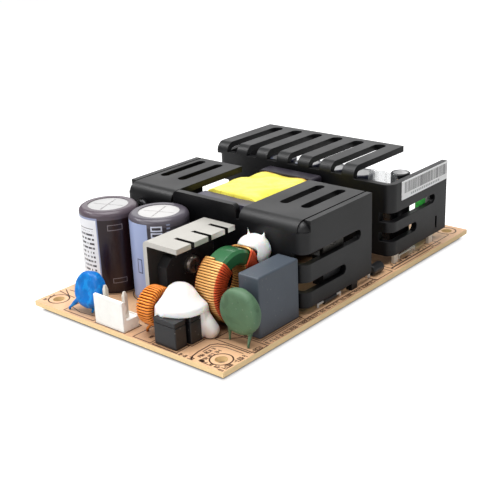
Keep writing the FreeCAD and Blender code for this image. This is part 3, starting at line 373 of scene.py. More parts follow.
def plain(name, colour, rough, *where, edge=0.12, **more):
    """One surface without prints on all the nodes named; edge softens its edges in the light."""
    material, shader = finish(name, colour, rough, **more)
    soften_edges(shader, edge)
    dress(material, *where)


# %% [markdown]
# ## Circuit board
# The board is tan paper laminate, darker where copper shows through from below, with cream sawn
# edges and a lacquered underside. A painted picture would tie the looks to one board size, so
# masks from the place and the normal tell face, edge and underside apart. Shade is painted into
# the laminate under the heatsinks and, through ambient occlusion, between the crowded parts at the
# mains end.


# %% Board material
def make_laminate():
    """Tan face with painted shade under the heatsinks and between the parts, cream edges, brown
    underside.
    """
    tan, cream, brown = rgb(226, 182, 142), rgb(250, 216, 160), rgb(150, 122, 84)
    heatsink_edge = -24.0
    material, shader = finish("laminate", tan, 0.42, (120.0, 0.07), (900.0, 0.01, 0.4), 0.25)
    traces = add(shader, "TexVoronoi", {"feature": "DISTANCE_TO_EDGE"}, Vector=place(shader), Scale=95.0)
    copper = above(traces.outputs[0], 0.16)
    recolour(shader, copper, rgb(176, 126, 92), 0.16)
    x, y = surface_mm(shader, 0), surface_mm(shader, 1)
    # painted shade: the laminate under both heatsinks is darkened
    painted_heatsink_shade = patch(x, heatsink_edge, 52.0, y, -33.5, 36.0, 1.5)
    recolour(shader, painted_heatsink_shade, rgb(58, 38, 26), 0.8)
    # painted shade from ambient occlusion, between the crowded parts at the mains end
    painted_crowd_shade = inverse(open_sky(shader, 0.007))
    painted_crowd_shade = product(painted_crowd_shade, below(x, heatsink_edge))
    recolour(shader, painted_crowd_shade, rgb(92, 58, 38), 0.8)
    facing = split(add(shader, "NewGeometry").outputs["Normal"])[2]
    side = below(calc("ABSOLUTE", facing), 0.5)
    recolour(shader, side, cream)
    under = below(facing, -0.5)
    recolour(shader, under, blend_colours(copper, rgb(132, 104, 70), brown))
    return material


dress(make_laminate(), "circuit_board")

# %% [markdown]
# ## Folded sheet
# The heatsinks are anodised aluminium: nearly black, satin, with a fine grain. The outer sides of
# the bends catch the light, so the bevel is in the normal. Their shine is turned down in the inner
# corners as painted shade, where little of the room is seen. The rectifier's bracket is dull zinc
# plated sheet, with painted shade on its inner face and in its notches.


# %% Heatsinks and bracket
def make_black_sheet():
    """Satin black sheet with painted shade: its shine is turned down in sheltered corners."""
    material, shader = finish("black_sheet", rgb(15, 15, 17), 0.42, (260.0, 0.10), (2400.0, 0.004, 0.5))
    worn = soft_noise(place(shader), 60.0, 5.0)
    drive(shader, "Roughness", calc("MULTIPLY_ADD", worn, 0.22, 0.30))
    # painted shade: the shine is turned down where other surfaces stand close
    clear = calc("POWER", open_sky(shader, 0.02), 1.6)
    drive(shader, "Specular IOR Level", calc("MULTIPLY_ADD", clear, 0.46, 0.06))
    soften_edges(shader, 0.22)
    return material


def make_bright_sheet():
    """Dull zinc with painted shade: nearly black on the inner face below the rim and inside the notches.
    """
    material, shader = finish(
        "zinc_sheet", rgb(204, 201, 194), 0.42, (180.0, 0.06), (1500.0, 0.006, 0.4), Metallic=0.55
    )
    facing = split(add(shader, "NewGeometry").outputs["True Normal"])
    # painted shade on the inner face below the bracket's rim
    inner = below(facing[1], -0.5)
    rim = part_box("rectifier_bracket")[1].z - 1.5 * MM
    low = below(split(place(shader))[2], rim)
    recolour(shader, product(inner, low), rgb(34, 31, 30), 0.92)
    # painted shade on the walls inside the notches
    notch = within(surface_mm(shader, 0), -52.0, -31.0, 0.1)
    sideways = above(calc("ABSOLUTE", facing[0]), 0.5)
    recolour(shader, product(notch, sideways), rgb(30, 28, 28))
    soften_edges(shader, 0.15)
    return material


black_sheet = make_black_sheet()
dress(black_sheet, "front_heatsink", "rear_heatsink")
dress(make_bright_sheet(), "rectifier_bracket")

# %% [markdown]
# ## Wire, solder and screws
# The pins of the output header are tinned and bright. Those of the input header, the heatsink's tabs
# and the links were dipped in solder: they are paler and less mirror-like, which needs a lower
# metallic value and a lighter colour. The screws at the front heatsink are blackened, those at the
# rear are nickel plated, so one material changes its colour half way along the board.

# %% Small metal
WIRE_CLOUD, WIRE_BUMPS = (500.0, 0.10), (1600.0, 0.01, 0.4)
SCREW_BUMPS = (2500.0, 0.008, 0.5)
tinned = finish("tinned_metal", rgb(196, 194, 190), 0.25, WIRE_CLOUD, WIRE_BUMPS, Metallic=0.95)[0]
dress(tinned, "output_header_pins", "transformer_pins")
dipped = finish("solder_dipped", rgb(232, 228, 218), 0.35, WIRE_CLOUD, WIRE_BUMPS, Metallic=0.25)[0]
dress(dipped, "input_header_pins", "rear_heatsink_pins", "wire_links")
solder = finish("solder", rgb(176, 176, 174), 0.32, (700.0, 0.12), (900.0, 0.03, 0.4), Metallic=0.9)[0]
dress(solder, "solder_joints")

plain(
    "bridge_screw", rgb(150, 140, 132), 0.3, "bridge_screw", "bridge_nut",
    cloud=(900.0, 0.12), bumps=SCREW_BUMPS, Metallic=0.9,
)
screws, shader = finish(
    "device_screws", rgb(150, 147, 140), 0.3, (900.0, 0.1), SCREW_BUMPS, Metallic=0.9
)
recolour(shader, below(surface_mm(shader, 0), 0.0), rgb(46, 46, 48))
soften_edges(shader, 0.1)
dress(screws, "device_screws", "device_nuts")

# %% [markdown]
# ## Plastics
# Moulded black parts differ in gloss, from the matt rectifier to the shinier fuses. The two axial
# diodes are black barrels on bright leads; both come as one solid, so a mask on the distance from
# the middle of the body tells them apart.


# %% Moulded parts and diodes
def middle(name):
    """The centre of a solid's box, in millimetres."""
    low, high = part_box(name)
    return tuple((a + b) / 2 / MM for a, b in zip(low, high))


PACKAGE = ((500.0, 0.1), (1800.0, 0.01, 0.5), 0.1)  # clouds, bumps and dust


def make_axial(name, body_length):
    """A black barrel with bright tinned leads."""
    material, shader = finish("axial_" + name, rgb(28, 28, 30), 0.35, *PACKAGE)
    off = calc("ABSOLUTE", calc("SUBTRACT", surface_mm(shader, 0), middle(name)[0]))
    lead = above(off, body_length / 2 + 0.02)
    recolour(shader, lead, rgb(232, 230, 226))
    drive(shader, "Metallic", product(lead, 0.3))
    dress(material, name)


plain(
    "moulded_black", rgb(30, 30, 32), 0.5, "bridge_rectifier", "control_chip",
    "optocoupler_1", "optocoupler_2", "transformer_bobbin", dust=0.15,
)
plain("fuse_black", rgb(26, 26, 29), 0.38, "fuse_1", "fuse_2", edge=0.2, dust=0.1)
plain("header_white", rgb(254, 252, 246), 0.42, "input_header", "output_header", edge=0.2)
make_axial("front_diode", 6.0)
make_axial("middle_diode", 5.6)

# %% [markdown]
# Each power package is a black body between a tinned tab and tinned leads, whose metal is painted
# dark as shade inside the heatsinks. Its parts are told apart by how far they lie below the
# package's head. The film capacitor is a slate grey case with blurred, darker patches.


# %% Power packages and film capacitor
def make_device(name):
    """A tinned tab and leads on a black body; the metal is painted dark as shade inside the heatsinks.
    """
    material, shader = finish("power_package", rgb(32, 32, 34), 0.48, *PACKAGE)
    height = above_board(shader)
    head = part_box(name)[1].z / MM - TOP
    tab = above(height, head - 6.2)
    legs = below(height, head - 15.6)
    metal = calc("MAXIMUM", tab, legs)
    # painted shade: the tab and leads are darkened inside the heatsinks
    recolour(shader, metal, rgb(96, 94, 90))
    drive(shader, "Metallic", metal)
    dress(material, name)


def make_slate():
    """Slate grey case with darker patches."""
    material, shader = finish(
        "slate_case", rgb(80, 88, 98), 0.40, (160.0, 0.10), (1100.0, 0.012, 0.5), 0.10
    )
    patches = soft_noise(place(shader), 45.0, 6.0, Roughness=0.7)
    recolour(shader, patches, rgb(54, 62, 72), 0.5)
    soften_edges(shader, 0.35)
    return material


for name in (
    "front_transistor_1", "front_transistor_2", "boost_diode",
    "output_rectifier_1", "output_rectifier_2", "output_rectifier_3",
):
    make_device(name)
dress(make_slate(), "film_capacitor")

# %% [markdown]
# ## Sleeves of the electrolytic capacitors
# A shrunk sleeve is printed flat and then closes round the can, so its stripe runs straight from
# top to bottom. Here the stripe follows the turn about the can's axis, which needs no unwrapping.


# %% Sleeve helpers
BULK_RADIUS = 9.0
SHOULDER = 23.6


def turned_from(turn, centre):
    """How far a turn lies from one direction, from -1 to 1, in half turns."""
    return calc("WRAP", calc("SUBTRACT", turn, centre), 1.0, -1.0)


def stripe(turn, centre, half):
    """A mask for the part of a sleeve within half of one direction, in half turns."""
    return within(calc("ABSOLUTE", turned_from(turn, centre)), -1.0, half, 0.006)


def along_sleeve(turn, centre):
    """The way round a bulk capacitor's sleeve from one direction, in millimetres."""
    return product(turned_from(turn, centre), math.pi * BULK_RADIUS)


def sleeve_frame(name, colour, centre, rough=0.3):
    """A sleeve's material and the turn, radius and height of its surface about the can's axis."""
    material, shader = finish(name, colour, rough, (160.0, 0.08), (500.0, 0.02, 0.15))
    spot = use(around, Place=place(shader), Axis_X=centre[0], Axis_Y=centre[1])
    return material, shader, spot


def box_outline(along, across, centre, half, line):
    """The outline of a small rectangle, given its centre, half sizes and half line width."""
    gaps = []
    for value, at, reach in zip((along, across), centre, half):
        off = calc("ABSOLUTE", calc("SUBTRACT", value, at))
        gaps.append(calc("SUBTRACT", off, reach))
    return below(calc("ABSOLUTE", calc("MAXIMUM", *gaps)), line)


print("way round a bulk sleeve (mm):", round(2 * math.pi * BULK_RADIUS, 1))

# %% [markdown]
# The first bulk capacitor is dark aubergine with a white data panel; the second is dark grey with a
# broad pale blue stripe. Words and numbers are left out: bars and outlines keep the grey values.


# %% Bulk capacitor sleeves
def sleeve_one(name, centre):
    """Dark aubergine, with a white data panel of plain bars and a pale violet shoulder above it."""
    material, shader, spot = sleeve_frame("sleeve_aubergine", rgb(36, 18, 23), centre)
    turn, height = spot["Turn"], spot["Height"]
    shoulder = above(height, SHOULDER)
    recolour(shader, shoulder, rgb(100, 88, 98), 0.7)
    label_turn = 0.935
    panel = product(stripe(turn, 0.925, 0.215), below(height, 24.2))
    recolour(shader, panel, rgb(150, 158, 190))
    tall = within(height, 5.0, SHOULDER, 0.15)
    recolour(shader, product(stripe(turn, label_turn, 0.19), tall), rgb(238, 239, 243))
    ink = rgb(62, 60, 66)
    along = along_sleeve(turn, label_turn)
    narrow = within(along, -1.6, 4.2, 0.05)
    inside = product(within(height, 6.5, 20.0, 0.05), narrow)
    bars = use(rows, Along=along, Across=height, Pitch=1.42, Fill=0.56)["Mask"]
    recolour(shader, product(bars, inside), ink)
    recolour(shader, product(within(height, 20.6, 20.85, 0.05), narrow), ink)
    side = along_sleeve(turn, -0.66)
    first = box_outline(side, height, (-0.4, 21.2), (2.2, 0.8), 0.12)
    second = box_outline(side, height, (-0.2, 4.2), (2.1, 0.7), 0.12)
    recolour(shader, calc("MAXIMUM", first, second), rgb(176, 166, 172), 0.4)
    dress(material, name)


def sleeve_two(name, centre):
    """Dark grey with a broad pale blue stripe, plain outlines and a row of dashes."""
    material, shader, spot = sleeve_frame("sleeve_blue_stripe", rgb(50, 46, 54), centre, 0.28)
    turn, height = spot["Turn"], spot["Height"]
    shoulder = above(height, SHOULDER)
    recolour(shader, shoulder, rgb(96, 90, 100), 0.6)
    below_lip = below(height, 24.6)
    pale = product(stripe(turn, 0.936, 0.186), below_lip)
    recolour(shader, pale, rgb(160, 174, 212))
    front = along_sleeve(turn, 0.936)
    oval = box_outline(front, height, (1.7, 11.3), (0.8, 2.1), 0.16)
    recolour(shader, oval, rgb(74, 80, 110))
    side = along_sleeve(turn, -0.78)
    upper = box_outline(side, height, (0.0, 23.4), (1.5, 0.6), 0.2)
    lower = box_outline(side, height, (0.0, 21.4), (1.5, 0.6), 0.2)
    recolour(shader, calc("MAXIMUM", upper, lower), rgb(206, 212, 230))
    dashes = below(calc("FRACT", calc("DIVIDE", height, 1.1)), 0.45)
    dashes = product(stripe(turn, -0.655, 0.022), dashes, below_lip)
    recolour(shader, dashes, rgb(140, 148, 176))
    dress(material, name)


# the axes of the two cans, as in the part
bulk_1 = (-39.6, 28.4)
bulk_2 = (-35.6, 10.6)
sleeve_one("bulk_capacitor_sleeve_1", bulk_1)
sleeve_two("bulk_capacitor_sleeve_2", bulk_2)

# %% [markdown]
# The small capacitors are single solids, so one material has to show both the sleeve and the bare
# end inside its rim. The two bulk cans are solids of their own: dull aluminium with a faint reddish
# mark in the middle of the end.


# %% Small capacitors and can ends
def sleeve_plain(name, colour, pale, towards):
    """A small capacitor: sleeve with one stripe, bare metal on top."""
    low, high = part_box(name)
    material, shader, spot = sleeve_frame("sleeve_" + name, colour, middle(name))
    recolour(shader, stripe(spot["Turn"], towards, 0.16), pale)
    reach = (high.x - low.x) / 2 / MM
    lid = below(spot["Radius"], reach * 0.79)
    raised = above(spot["Height"], high.z / MM - TOP - 0.6)
    metal = product(lid, raised)
    recolour(shader, metal, rgb(176, 176, 176))
    drive(shader, "Metallic", product(metal, 0.4))
    dress(material, name)


def make_can(name, centre, grey):
    """Bare can end with a small reddish mark in the middle and a fainter one round it."""
    material, shader, spot = sleeve_frame("can_" + name, grey, centre, 0.45)
    shader.inputs["Metallic"].default_value = 0.25
    dot = within(spot["Radius"], -1.0, 0.25, 0.5)
    recolour(shader, dot, rgb(120, 60, 58), 0.8)
    halo = within(spot["Radius"], -1.0, 0.6, 2.2)
    recolour(shader, halo, rgb(236, 190, 186), 0.22)
    dress(material, name)


for number in range(1, 5):
    sleeve_plain(f"output_capacitor_{number}", rgb(34, 36, 58), rgb(150, 160, 190), 0.9)
sleeve_plain("green_capacitor", rgb(92, 255, 108), rgb(250, 255, 250), -0.55)
sleeve_plain("tall_capacitor", rgb(24, 24, 26), rgb(60, 60, 64), 0.4)
sleeve_plain("small_capacitor", rgb(40, 30, 34), rgb(150, 150, 154), 0.2)
make_can("bulk_capacitor_can_1", bulk_1, rgb(196, 195, 195))
make_can("bulk_capacitor_can_2", bulk_2, rgb(208, 206, 205))

# %% [markdown]
# ## Dipped discs and silicone
# Dipping and hand-applied silicone leave no sharp edge at all. The solids are rebuilt as fine
# skins, smoothed where they join and pushed in and out a little, and they take the solids' places.
# A bump in the material alone would leave the outline too clean.


# %% Organic skins
def smooth_skin(name, node, cell, passes, swell, scale, seed):
    """A finely meshed copy of a solid, smoothed and made slightly uneven."""
    mesh = nodes[node].data.copy()
    mesh.name = name
    mesh.materials.clear()
    piece = new_object(name, mesh)
    weld = piece.modifiers.new("weld", "WELD")
    weld.merge_threshold = 0.00001
    remesh = piece.modifiers.new("remesh", "REMESH")
    remesh.mode = "VOXEL"
    remesh.voxel_size = cell * MM
    evaluated = piece.evaluated_get(bpy.context.evaluated_depsgraph_get())
    fine = bpy.data.meshes.new_from_object(evaluated)
    piece.modifiers.clear()
    piece.data = fine
    shape = bmesh.new()
    shape.from_mesh(fine)
    all_axes = {"use_axis_x": True, "use_axis_y": True, "use_axis_z": True}
    for _ in range(passes):
        bmesh.ops.smooth_vert(shape, verts=shape.verts, factor=0.5, **all_axes)
    shape.normal_update()
    floor = (TOP + 0.05) * MM
    offset = Vector((seed, seed * 2, seed * 3))
    for vertex in shape.verts:
        push = noise.noise(vertex.co * scale + offset) * swell * MM
        vertex.co += vertex.normal * push
        vertex.co.z = max(vertex.co.z, floor)
    shape.to_mesh(fine)
    shape.free()
    for polygon in fine.polygons:
        polygon.use_smooth = True
    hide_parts(node)
    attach(piece, "root")
    print(name, "faces:", len(fine.polygons))
    return piece


def make_blue_coating():
    """Glossy dark blue with brighter patches: mottled tone with painted highlights."""
    material, shader = finish(
        "blue_coating", rgb(0, 108, 190), 0.4, (300.0, 0.3), (300.0, 0.25, 0.1),
        Coat_Weight=0.2, Coat_Roughness=0.08, Specular_IOR_Level=0.2,
    )
    # the brighter patches are mottled tone with painted highlights
    patches = soft_noise(place(shader), 420.0, 3.0, Distortion=0.6)
    recolour(shader, within(patches, 0.5, 1.0, 0.12), rgb(10, 150, 226), 0.55)
    return material


def make_green_coating():
    """A matt sage coating with darker smudges and a few pits."""
    material, shader = finish(
        "sage_coating", rgb(84, 116, 86), 0.55, (260.0, 0.14), (700.0, 0.03, 0.4), 0.08
    )
    pits = use(specks, Place=place(shader), Scale=420.0, Size=0.24)["Mask"]
    recolour(shader, pits, rgb(60, 84, 64), 0.35)
    smudge = soft_noise(place(shader), 170.0, 4.0, Distortion=0.8)
    recolour(shader, within(smudge, 0.56, 1.0, 0.08), rgb(62, 88, 64), 0.4)
    return material


blue_disc = smooth_skin("blue_varistor_skin", "blue_varistor", 0.22, 3, 0.22, 420.0, 3)
blue_disc.data.materials.append(make_blue_coating())
green_disc = smooth_skin("green_thermistor_skin", "green_thermistor", 0.22, 3, 0.12, 380.0, 5)
green_disc.data.materials.append(make_green_coating())

# %% [markdown]
# Silicone lets light in, so it needs a little subsurface scattering, and painted brownish shade
# darkens it near the board. The mound over the fuses was pressed on by hand: its shoulders are drawn
# in, and the end of the second fuse stays free.


# %% Silicone
def make_silicone():
    """White, slightly translucent, with painted brownish shade towards the board."""
    material, shader = finish(
        "white_silicone", rgb(254, 253, 250), 0.32, (220.0, 0.02), (330.0, 0.06, 0.1),
        Subsurface_Weight=0.35, Subsurface_Scale=0.002,
    )
    painted_low_shade = within(above_board(shader), -9.0, 6.0, 5.0)
    # painted brownish shade near the board
    recolour(shader, painted_low_shade, rgb(190, 172, 158), 0.6)
    return material


def shape_mound(skin):
    """Pulls the mound's shoulders in and keeps silicone off the end face of the second fuse."""
    centre_x, centre_y = -53.3 * MM, -14.2 * MM
    shoulder, pull, edge = (TOP + 9.8) * MM, 1.15 * MM, 0.1 * MM
    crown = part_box("fuse_silicone")[1].z
    low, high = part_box("fuse_2")
    for vertex in skin.data.vertices:
        x, y, z = vertex.co
        if z > shoulder:
            out = math.hypot(x - centre_x, y - centre_y)
            rise = min((z - shoulder) / (crown - shoulder), 1.0)
            near = 1.0 - min(pull * math.sin(math.pi * rise) / max(out, pull), 0.8)
            vertex.co.x = centre_x + (x - centre_x) * near
            vertex.co.y = centre_y + (y - centre_y) * near
        elif y < low.y + edge and low.x - edge < x < high.x + edge and z < high.z + edge:
            vertex.co.y = low.y + 3 * edge


silicone = make_silicone()
for node, seed in (("fuse_silicone", 7), ("choke_silicone", 11)):
    skin = smooth_skin(node + "_skin", node, 0.28, 4, 0.30, 260.0, seed)
    skin.data.materials.append(silicone)
    if node == "fuse_silicone":
        shape_mound(skin)

# %% [markdown]
# ## Wound wire
# Each winding is one long enamelled wire. It runs round the core section again and again while it
# steps along the ring. The turns crowd in the hole, so every second one lies a little higher there.
# A path with a tube along it gives real grooves, which a bump on the solid could not.


# %% Wire turns
def tube(shape, points, radius):
    """A round tube along a list of points, added to a mesh that is being built."""
    sides = 8
    previous = None
    guide = None
    for i, point in enumerate(points):
        ahead = points[min(i + 1, len(points) - 1)]
        behind = points[max(i - 1, 0)]
        along = (ahead - behind).normalized()
        if guide is None:
            guide = along.orthogonal().normalized()
        guide = (guide - along * guide.dot(along)).normalized()
        other = along.cross(guide)
        ring = []
        for k in range(sides):
            turn = 2 * math.pi * k / sides
            offset = (guide * math.cos(turn) + other * math.sin(turn)) * radius
            ring.append(shape.verts.new(point + offset))
        if previous is None:
            shape.faces.new(list(reversed(ring)))
        else:
            for k in range(sides):
                following = (k + 1) % sides
                shape.faces.new((previous[k], previous[following], ring[following], ring[k]))
        previous = ring
    shape.faces.new(previous)


def lead(shape, points, radius):
    """A wire through a few points; both are in millimetres."""
    tube(shape, [Vector(point) * MM for point in points], radius * MM)


def wound(shape, centre, axes, ring, wire, turns, start, end, seed):
    """One wire wound round a ring: ring is (outer radius, hole radius, half width) of the winding."""
    spin = random.Random(seed)
    outer, hole, half = ring
    along, across, axis = [Vector(a) for a in axes]
    radius = (outer + hole) / 2
    reach = (outer - hole) / 2 - wire
    flat = half - wire
    steps, squareness, crowding = 20, 0.42, 0.06
    total = turns * steps
    crowd = [spin.uniform(-crowding, crowding) for _ in range(turns + 1)]
    points = []
    for i in range(total + 1):
        k = min(i // steps, turns - 1)
        t = (i / steps - k) * 2 * math.pi
        angle = math.radians(start + (end - start) * (i / total))
        angle += crowd[k] * math.radians((end - start) / turns)
        c, s = math.cos(t), math.sin(t)
        u = math.copysign(abs(c) ** squareness, c) * reach
        w = math.copysign(abs(s) ** squareness, s) * flat
        if c < -0.3 and k % 2:
            u += wire * 1.5 * min(1.0, (-c - 0.3) * 2)
        outward = along * math.cos(angle) + across * math.sin(angle)
        points.append(Vector(centre) + outward * (radius + u) + axis * w)
    points = [point * MM for point in points]
    tube(shape, points, wire * MM)
    print("wire points:", len(points))


def as_piece(name, shape, material, smooth=True):
    """Turns a built mesh into a piece that rides on the part."""
    bmesh.ops.recalc_face_normals(shape, faces=shape.faces)
    mesh = bpy.data.meshes.new(name)
    shape.to_mesh(mesh)
    shape.free()
    for polygon in mesh.polygons:
        polygon.use_smooth = smooth
    mesh.materials.append(material)
    piece = new_object(name, mesh)
    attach(piece, "root")
    return piece


# %% [markdown]
# Enamel is a thin lacquer on copper, so the wire is warm and glossy. Ambient occlusion paints shade
# into the grooves over a short reach, and into the places between the parts over a longer one. On the
# big choke the turns are painted redder on the faces of the ring than on its rim, as shade.


# %% Enamel and the big choke
def make_enamel(name, colour, groove_shade, face=None):
    """Enamelled copper with painted shade; face is the ring's middle along Y and its faces' shade
    colour.
    """
    material, shader = finish(name, colour, 0.26, (700.0, 0.10), (1500.0, 0.008, 0.4), Metallic=0.2)
    if face:
        off = calc("ABSOLUTE", calc("SUBTRACT", surface_mm(shader, 1), face[0]))
        # painted shade: the turns on the ring's faces are redder than on its rim
        recolour(shader, within(off, 3.35, 9.0, 0.25), face[1], 0.85)
    # painted shade from ambient occlusion, in the grooves and between the parts
    grooves = inverse(open_sky(shader, 0.0012))
    recolour(shader, grooves, groove_shade)
    sheltered = inverse(open_sky(shader, 0.009))
    recolour(shader, sheltered, rgb(46, 12, 4), 0.55)
    return material


standing = ((1, 0, 0), (0, 0, 1), (0, 1, 0))
foot = TOP + 0.02
choke_centre = middle("main_choke_core")
choke_ring = (11.05, 4.75, 4.3)
lead_out, lead_across = 4.64, 3.82
# the redder colour for the big choke's faces is painted shade
enamel = make_enamel(
    "choke_enamel", rgb(255, 190, 110), rgb(84, 12, 4), (choke_centre[1], rgb(232, 50, 16))
)
for node, start, end, seed, side in (
    ("main_choke_winding_left", 122, 262, 2, -1),
    ("main_choke_winding_right", -82, 58, 3, 1),
):
    shape = bmesh.new()
    wound(shape, choke_centre, standing, choke_ring, 0.36, 34, start, end, seed)
    x = choke_centre[0] + side * lead_out
    for y in (choke_centre[1] - lead_across, choke_centre[1] + lead_across):
        lead(shape, [(x, y, foot), (x, y, TOP + 3.4)], 0.4)
    piece = as_piece(node + "_turns", shape, enamel)
    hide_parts(node)

# %% [markdown]
# The small ring choke stands like the big one; the output choke lies flat. Their cores have a
# smooth, slightly shiny coat, so they share its settings.


# %% Small chokes and cores
small_centre = middle("small_choke_core")
shape = bmesh.new()
wound(shape, small_centre, standing, (5.65, 1.8, 2.8), 0.32, 36, -70, 250, 4)
for side in (-1, 1):
    x = small_centre[0] + 1.2 + side * 2.9
    y = small_centre[1] + 2.4
    joint = (small_centre[0] + side * 2.3, small_centre[1], small_centre[2] - 4.8)
    lead(shape, [(x, y, foot), (x, y, TOP + 0.9), joint], 0.4)
ring_enamel = make_enamel("ring_enamel", rgb(255, 150, 48), rgb(150, 44, 6))
small_turns = as_piece("small_choke_turns", shape, ring_enamel)
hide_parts("small_choke_winding")

lying = ((1, 0, 0), (0, 1, 0), (0, 0, 1))
coil_centre = middle("output_choke_core")
shape = bmesh.new()
wound(shape, coil_centre, lying, (8.0, 2.6, 4.7), 0.5, 16, 15, 345, 5)
for angle in (20, 340):
    x = coil_centre[0] + 7.3 * math.cos(math.radians(angle))
    y = coil_centre[1] + 7.3 * math.sin(math.radians(angle))
    lead(shape, [(x, y, foot), (x, y, TOP + 1.2)], 0.5)
coil_enamel = make_enamel("coil_enamel", rgb(116, 58, 32), rgb(60, 18, 8))
coil_turns = as_piece("output_choke_turns", shape, coil_enamel)
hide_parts("output_choke_winding")

CORE_COAT = {"edge": 0.3, "cloud": (260.0, 0.12), "bumps": (600.0, 0.03, 0.2), "Coat_Weight": 0.4}
plain("green_core", rgb(44, 104, 62), 0.3, "main_choke_core", **CORE_COAT)
plain("ring_core", rgb(176, 84, 26), 0.3, "small_choke_core", "output_choke_core", **CORE_COAT)

# %% [markdown]
# ## Transformer
# The coil is wrapped in glossy yellow tape. Its turns end in faint steps, its skin is uneven and
# falls away towards the output side, so the solid gets a skin as the silicone did, with a slope.
# The ferrite is sintered and then ground, dull grey with a violet tinge. Its front half is painted
# lighter and its rear half darker, as light and shade.


# %% Transformer materials
def make_tape():
    """Yellow tape: slanting steps, painted shade in its creases, a paler left part, a browner far edge.
    """
    material, shader = finish(
        "yellow_tape", rgb(252, 238, 96), 0.3, (90.0, 0.06), (120.0, 0.5, 0.05), Specular_IOR_Level=0.3
    )
    where = place(shader)
    x, y, _ = split(where)
    wrinkle = soft_noise(where, 55.0, 2.0, Distortion=1.2)
    slant = calc("MULTIPLY_ADD", wrinkle, 0.004, calc("MULTIPLY_ADD", y, 0.18, x))
    step = calc("FRACT", calc("DIVIDE", slant, 0.0085))
    recolour(shader, below(step, 0.03), rgb(214, 190, 60), 0.35)
    folds = soft_noise(where, 95.0, 3.0, Distortion=2.5)
    # painted shade along the creases
    recolour(shader, within(folds, 0.5, 0.53, 0.01), rgb(206, 168, 40), 0.4)
    left_part = within(surface_mm(shader, 1), 9.0, 30.0, 5.0)
    recolour(shader, left_part, rgb(244, 232, 170), 0.4)
    far_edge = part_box("transformer_winding")[1].x - 2.2 * MM
    far = within(x, far_edge, 1.0, 1.6 * MM)
    brown_patches = within(folds, 0.42, 1.0, 0.12)
    # darker brown patches near the far edge
    recolour(shader, product(far, brown_patches), rgb(196, 128, 40), 0.8)
    return material


def slope_tape(skin, drop):
    """Lets the upper half of the wrapped coil fall away towards the output side."""
    low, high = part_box("transformer_winding")
    for vertex in skin.data.vertices:
        rise = max(0.0, (vertex.co.z - low.z) / (high.z - low.z) * 2 - 1)
        along = (vertex.co.x - low.x) / (high.x - low.x)
        vertex.co.z -= drop * MM * rise * max(0.0, along)


wrapped_coil = smooth_skin("transformer_tape_skin", "transformer_winding", 0.42, 1, 0.75, 150.0, 17)
slope_tape(wrapped_coil, 1.5)
wrapped_coil.data.materials.append(make_tape())
CERAMIC = {"edge": 0.3, "cloud": (600.0, 0.14), "bumps": (1300.0, 0.02, 0.6), "dust": 0.08}
# painted light and shade: the front half of the core is lighter, the rear half darker
plain("ferrite_front_painted_light", rgb(76, 74, 88), 0.42, "transformer_core_front", **CERAMIC)
plain("ferrite_rear_painted_shade", rgb(36, 31, 42), 0.42, "transformer_core_rear", **CERAMIC)

# %% [markdown]
# ## Label and clear film
# The label carries a plain bar pattern and a row of small marks: no number is encoded. The film is
# a clear sheet whose folds show as bright lines. Its lower part is darkened, because it stands in
# the shade of the rear heatsink and would otherwise show the bright board through the slots.


# %% Label and film
def make_label():
    """White paper with bars of uneven width and a row of small marks below them."""
    material, shader = finish(
        "paper_label", rgb(252, 252, 252), 0.4, (300.0, 0.03), (2500.0, 0.003, 0.4)
    )
    along, height = surface_mm(shader, 0), above_board(shader)
    column = product(along, 1.7)
    spot = add(shader, "CombineXYZ", None, i0=calc("FLOOR", column))
    chance = add(shader, "TexWhiteNoise", {"noise_dimensions": "3D"}, Vector=spot.outputs[0])
    width = calc("MULTIPLY_ADD", chance.outputs["Value"], 0.5, 0.35)
    bar = below(calc("FRACT", column), width)
    bar_zone = patch(along, 27.2, 53.2, height, 22.4, 26.0, 0.05)
    recolour(shader, product(bar, bar_zone), rgb(52, 52, 56), 0.85)
    mark = below(calc("FRACT", product(along, 0.9)), 0.6)
    mark_zone = patch(along, 31.0, 49.0, height, 21.1, 21.9, 0.05)
    recolour(shader, product(mark_zone, mark), rgb(70, 70, 74), 0.6)
    return material


def make_film():
    """Clear above the heatsink; below its plate painted dark as shade and nearly opaque."""
    material, shader = new_material("clear_film", Roughness=0.12, IOR=1.12)
    where = place(shader)
    shade = use(clouds, Place=where, Scale=300.0, Amount=0.05, Colour=rgb(235, 238, 240))["Colour"]
    drive(shader, "Base Color", shade)
    normal = use(relief, Place=where, Scale=220.0, Height=0.35, Grain=0.1)["Normal"]
    drive(shader, "Normal", normal)
    upper = within(surface_mm(shader, 2), TOP + 17.0, 40.0, 4.0)
    # painted shade on the film's lower part
    recolour(shader, inverse(upper), rgb(24, 24, 26))
    drive(shader, "Alpha", calc("MULTIPLY_ADD", upper, -0.35, 0.8))
    drive(shader, "Transmission Weight", product(upper, 0.85))
    return material


dress(make_label(), "barcode_label")
dress(make_film(), "insulation_film")

# %% [markdown]
# ## Folded corners
# Where the flange and the side wall meet the front bend, the sheet ends in a small domed corner.
# It is an eighth of a ball, a little smaller than the bends, so a dark seam stays round it.


# %% Domed corners
def domed_corner(shape, centre, start, radius):
    """An eighth of a ball above a centre, from one compass angle to the next quarter."""
    points = [Vector(centre) * MM]
    for i in range(9):
        rise = math.radians(90 * i / 8)
        for k in range(9):
            turn = math.radians(start + 90 * k / 8)
            side = radius * math.cos(rise)
            offset = Vector((side * math.cos(turn), side * math.sin(turn), radius * math.sin(rise)))
            points.append((Vector(centre) + offset) * MM)
    made = [shape.verts.new(point) for point in points]
    bmesh.ops.remove_doubles(shape, verts=made, dist=1e-7)
    hull = bmesh.ops.convex_hull(shape, input=[v for v in shape.verts if not v.link_faces])
    spare = [item for item in hull["geom_interior"] if isinstance(item, bmesh.types.BMVert)]
    bmesh.ops.delete(shape, geom=spare, context="VERTS")


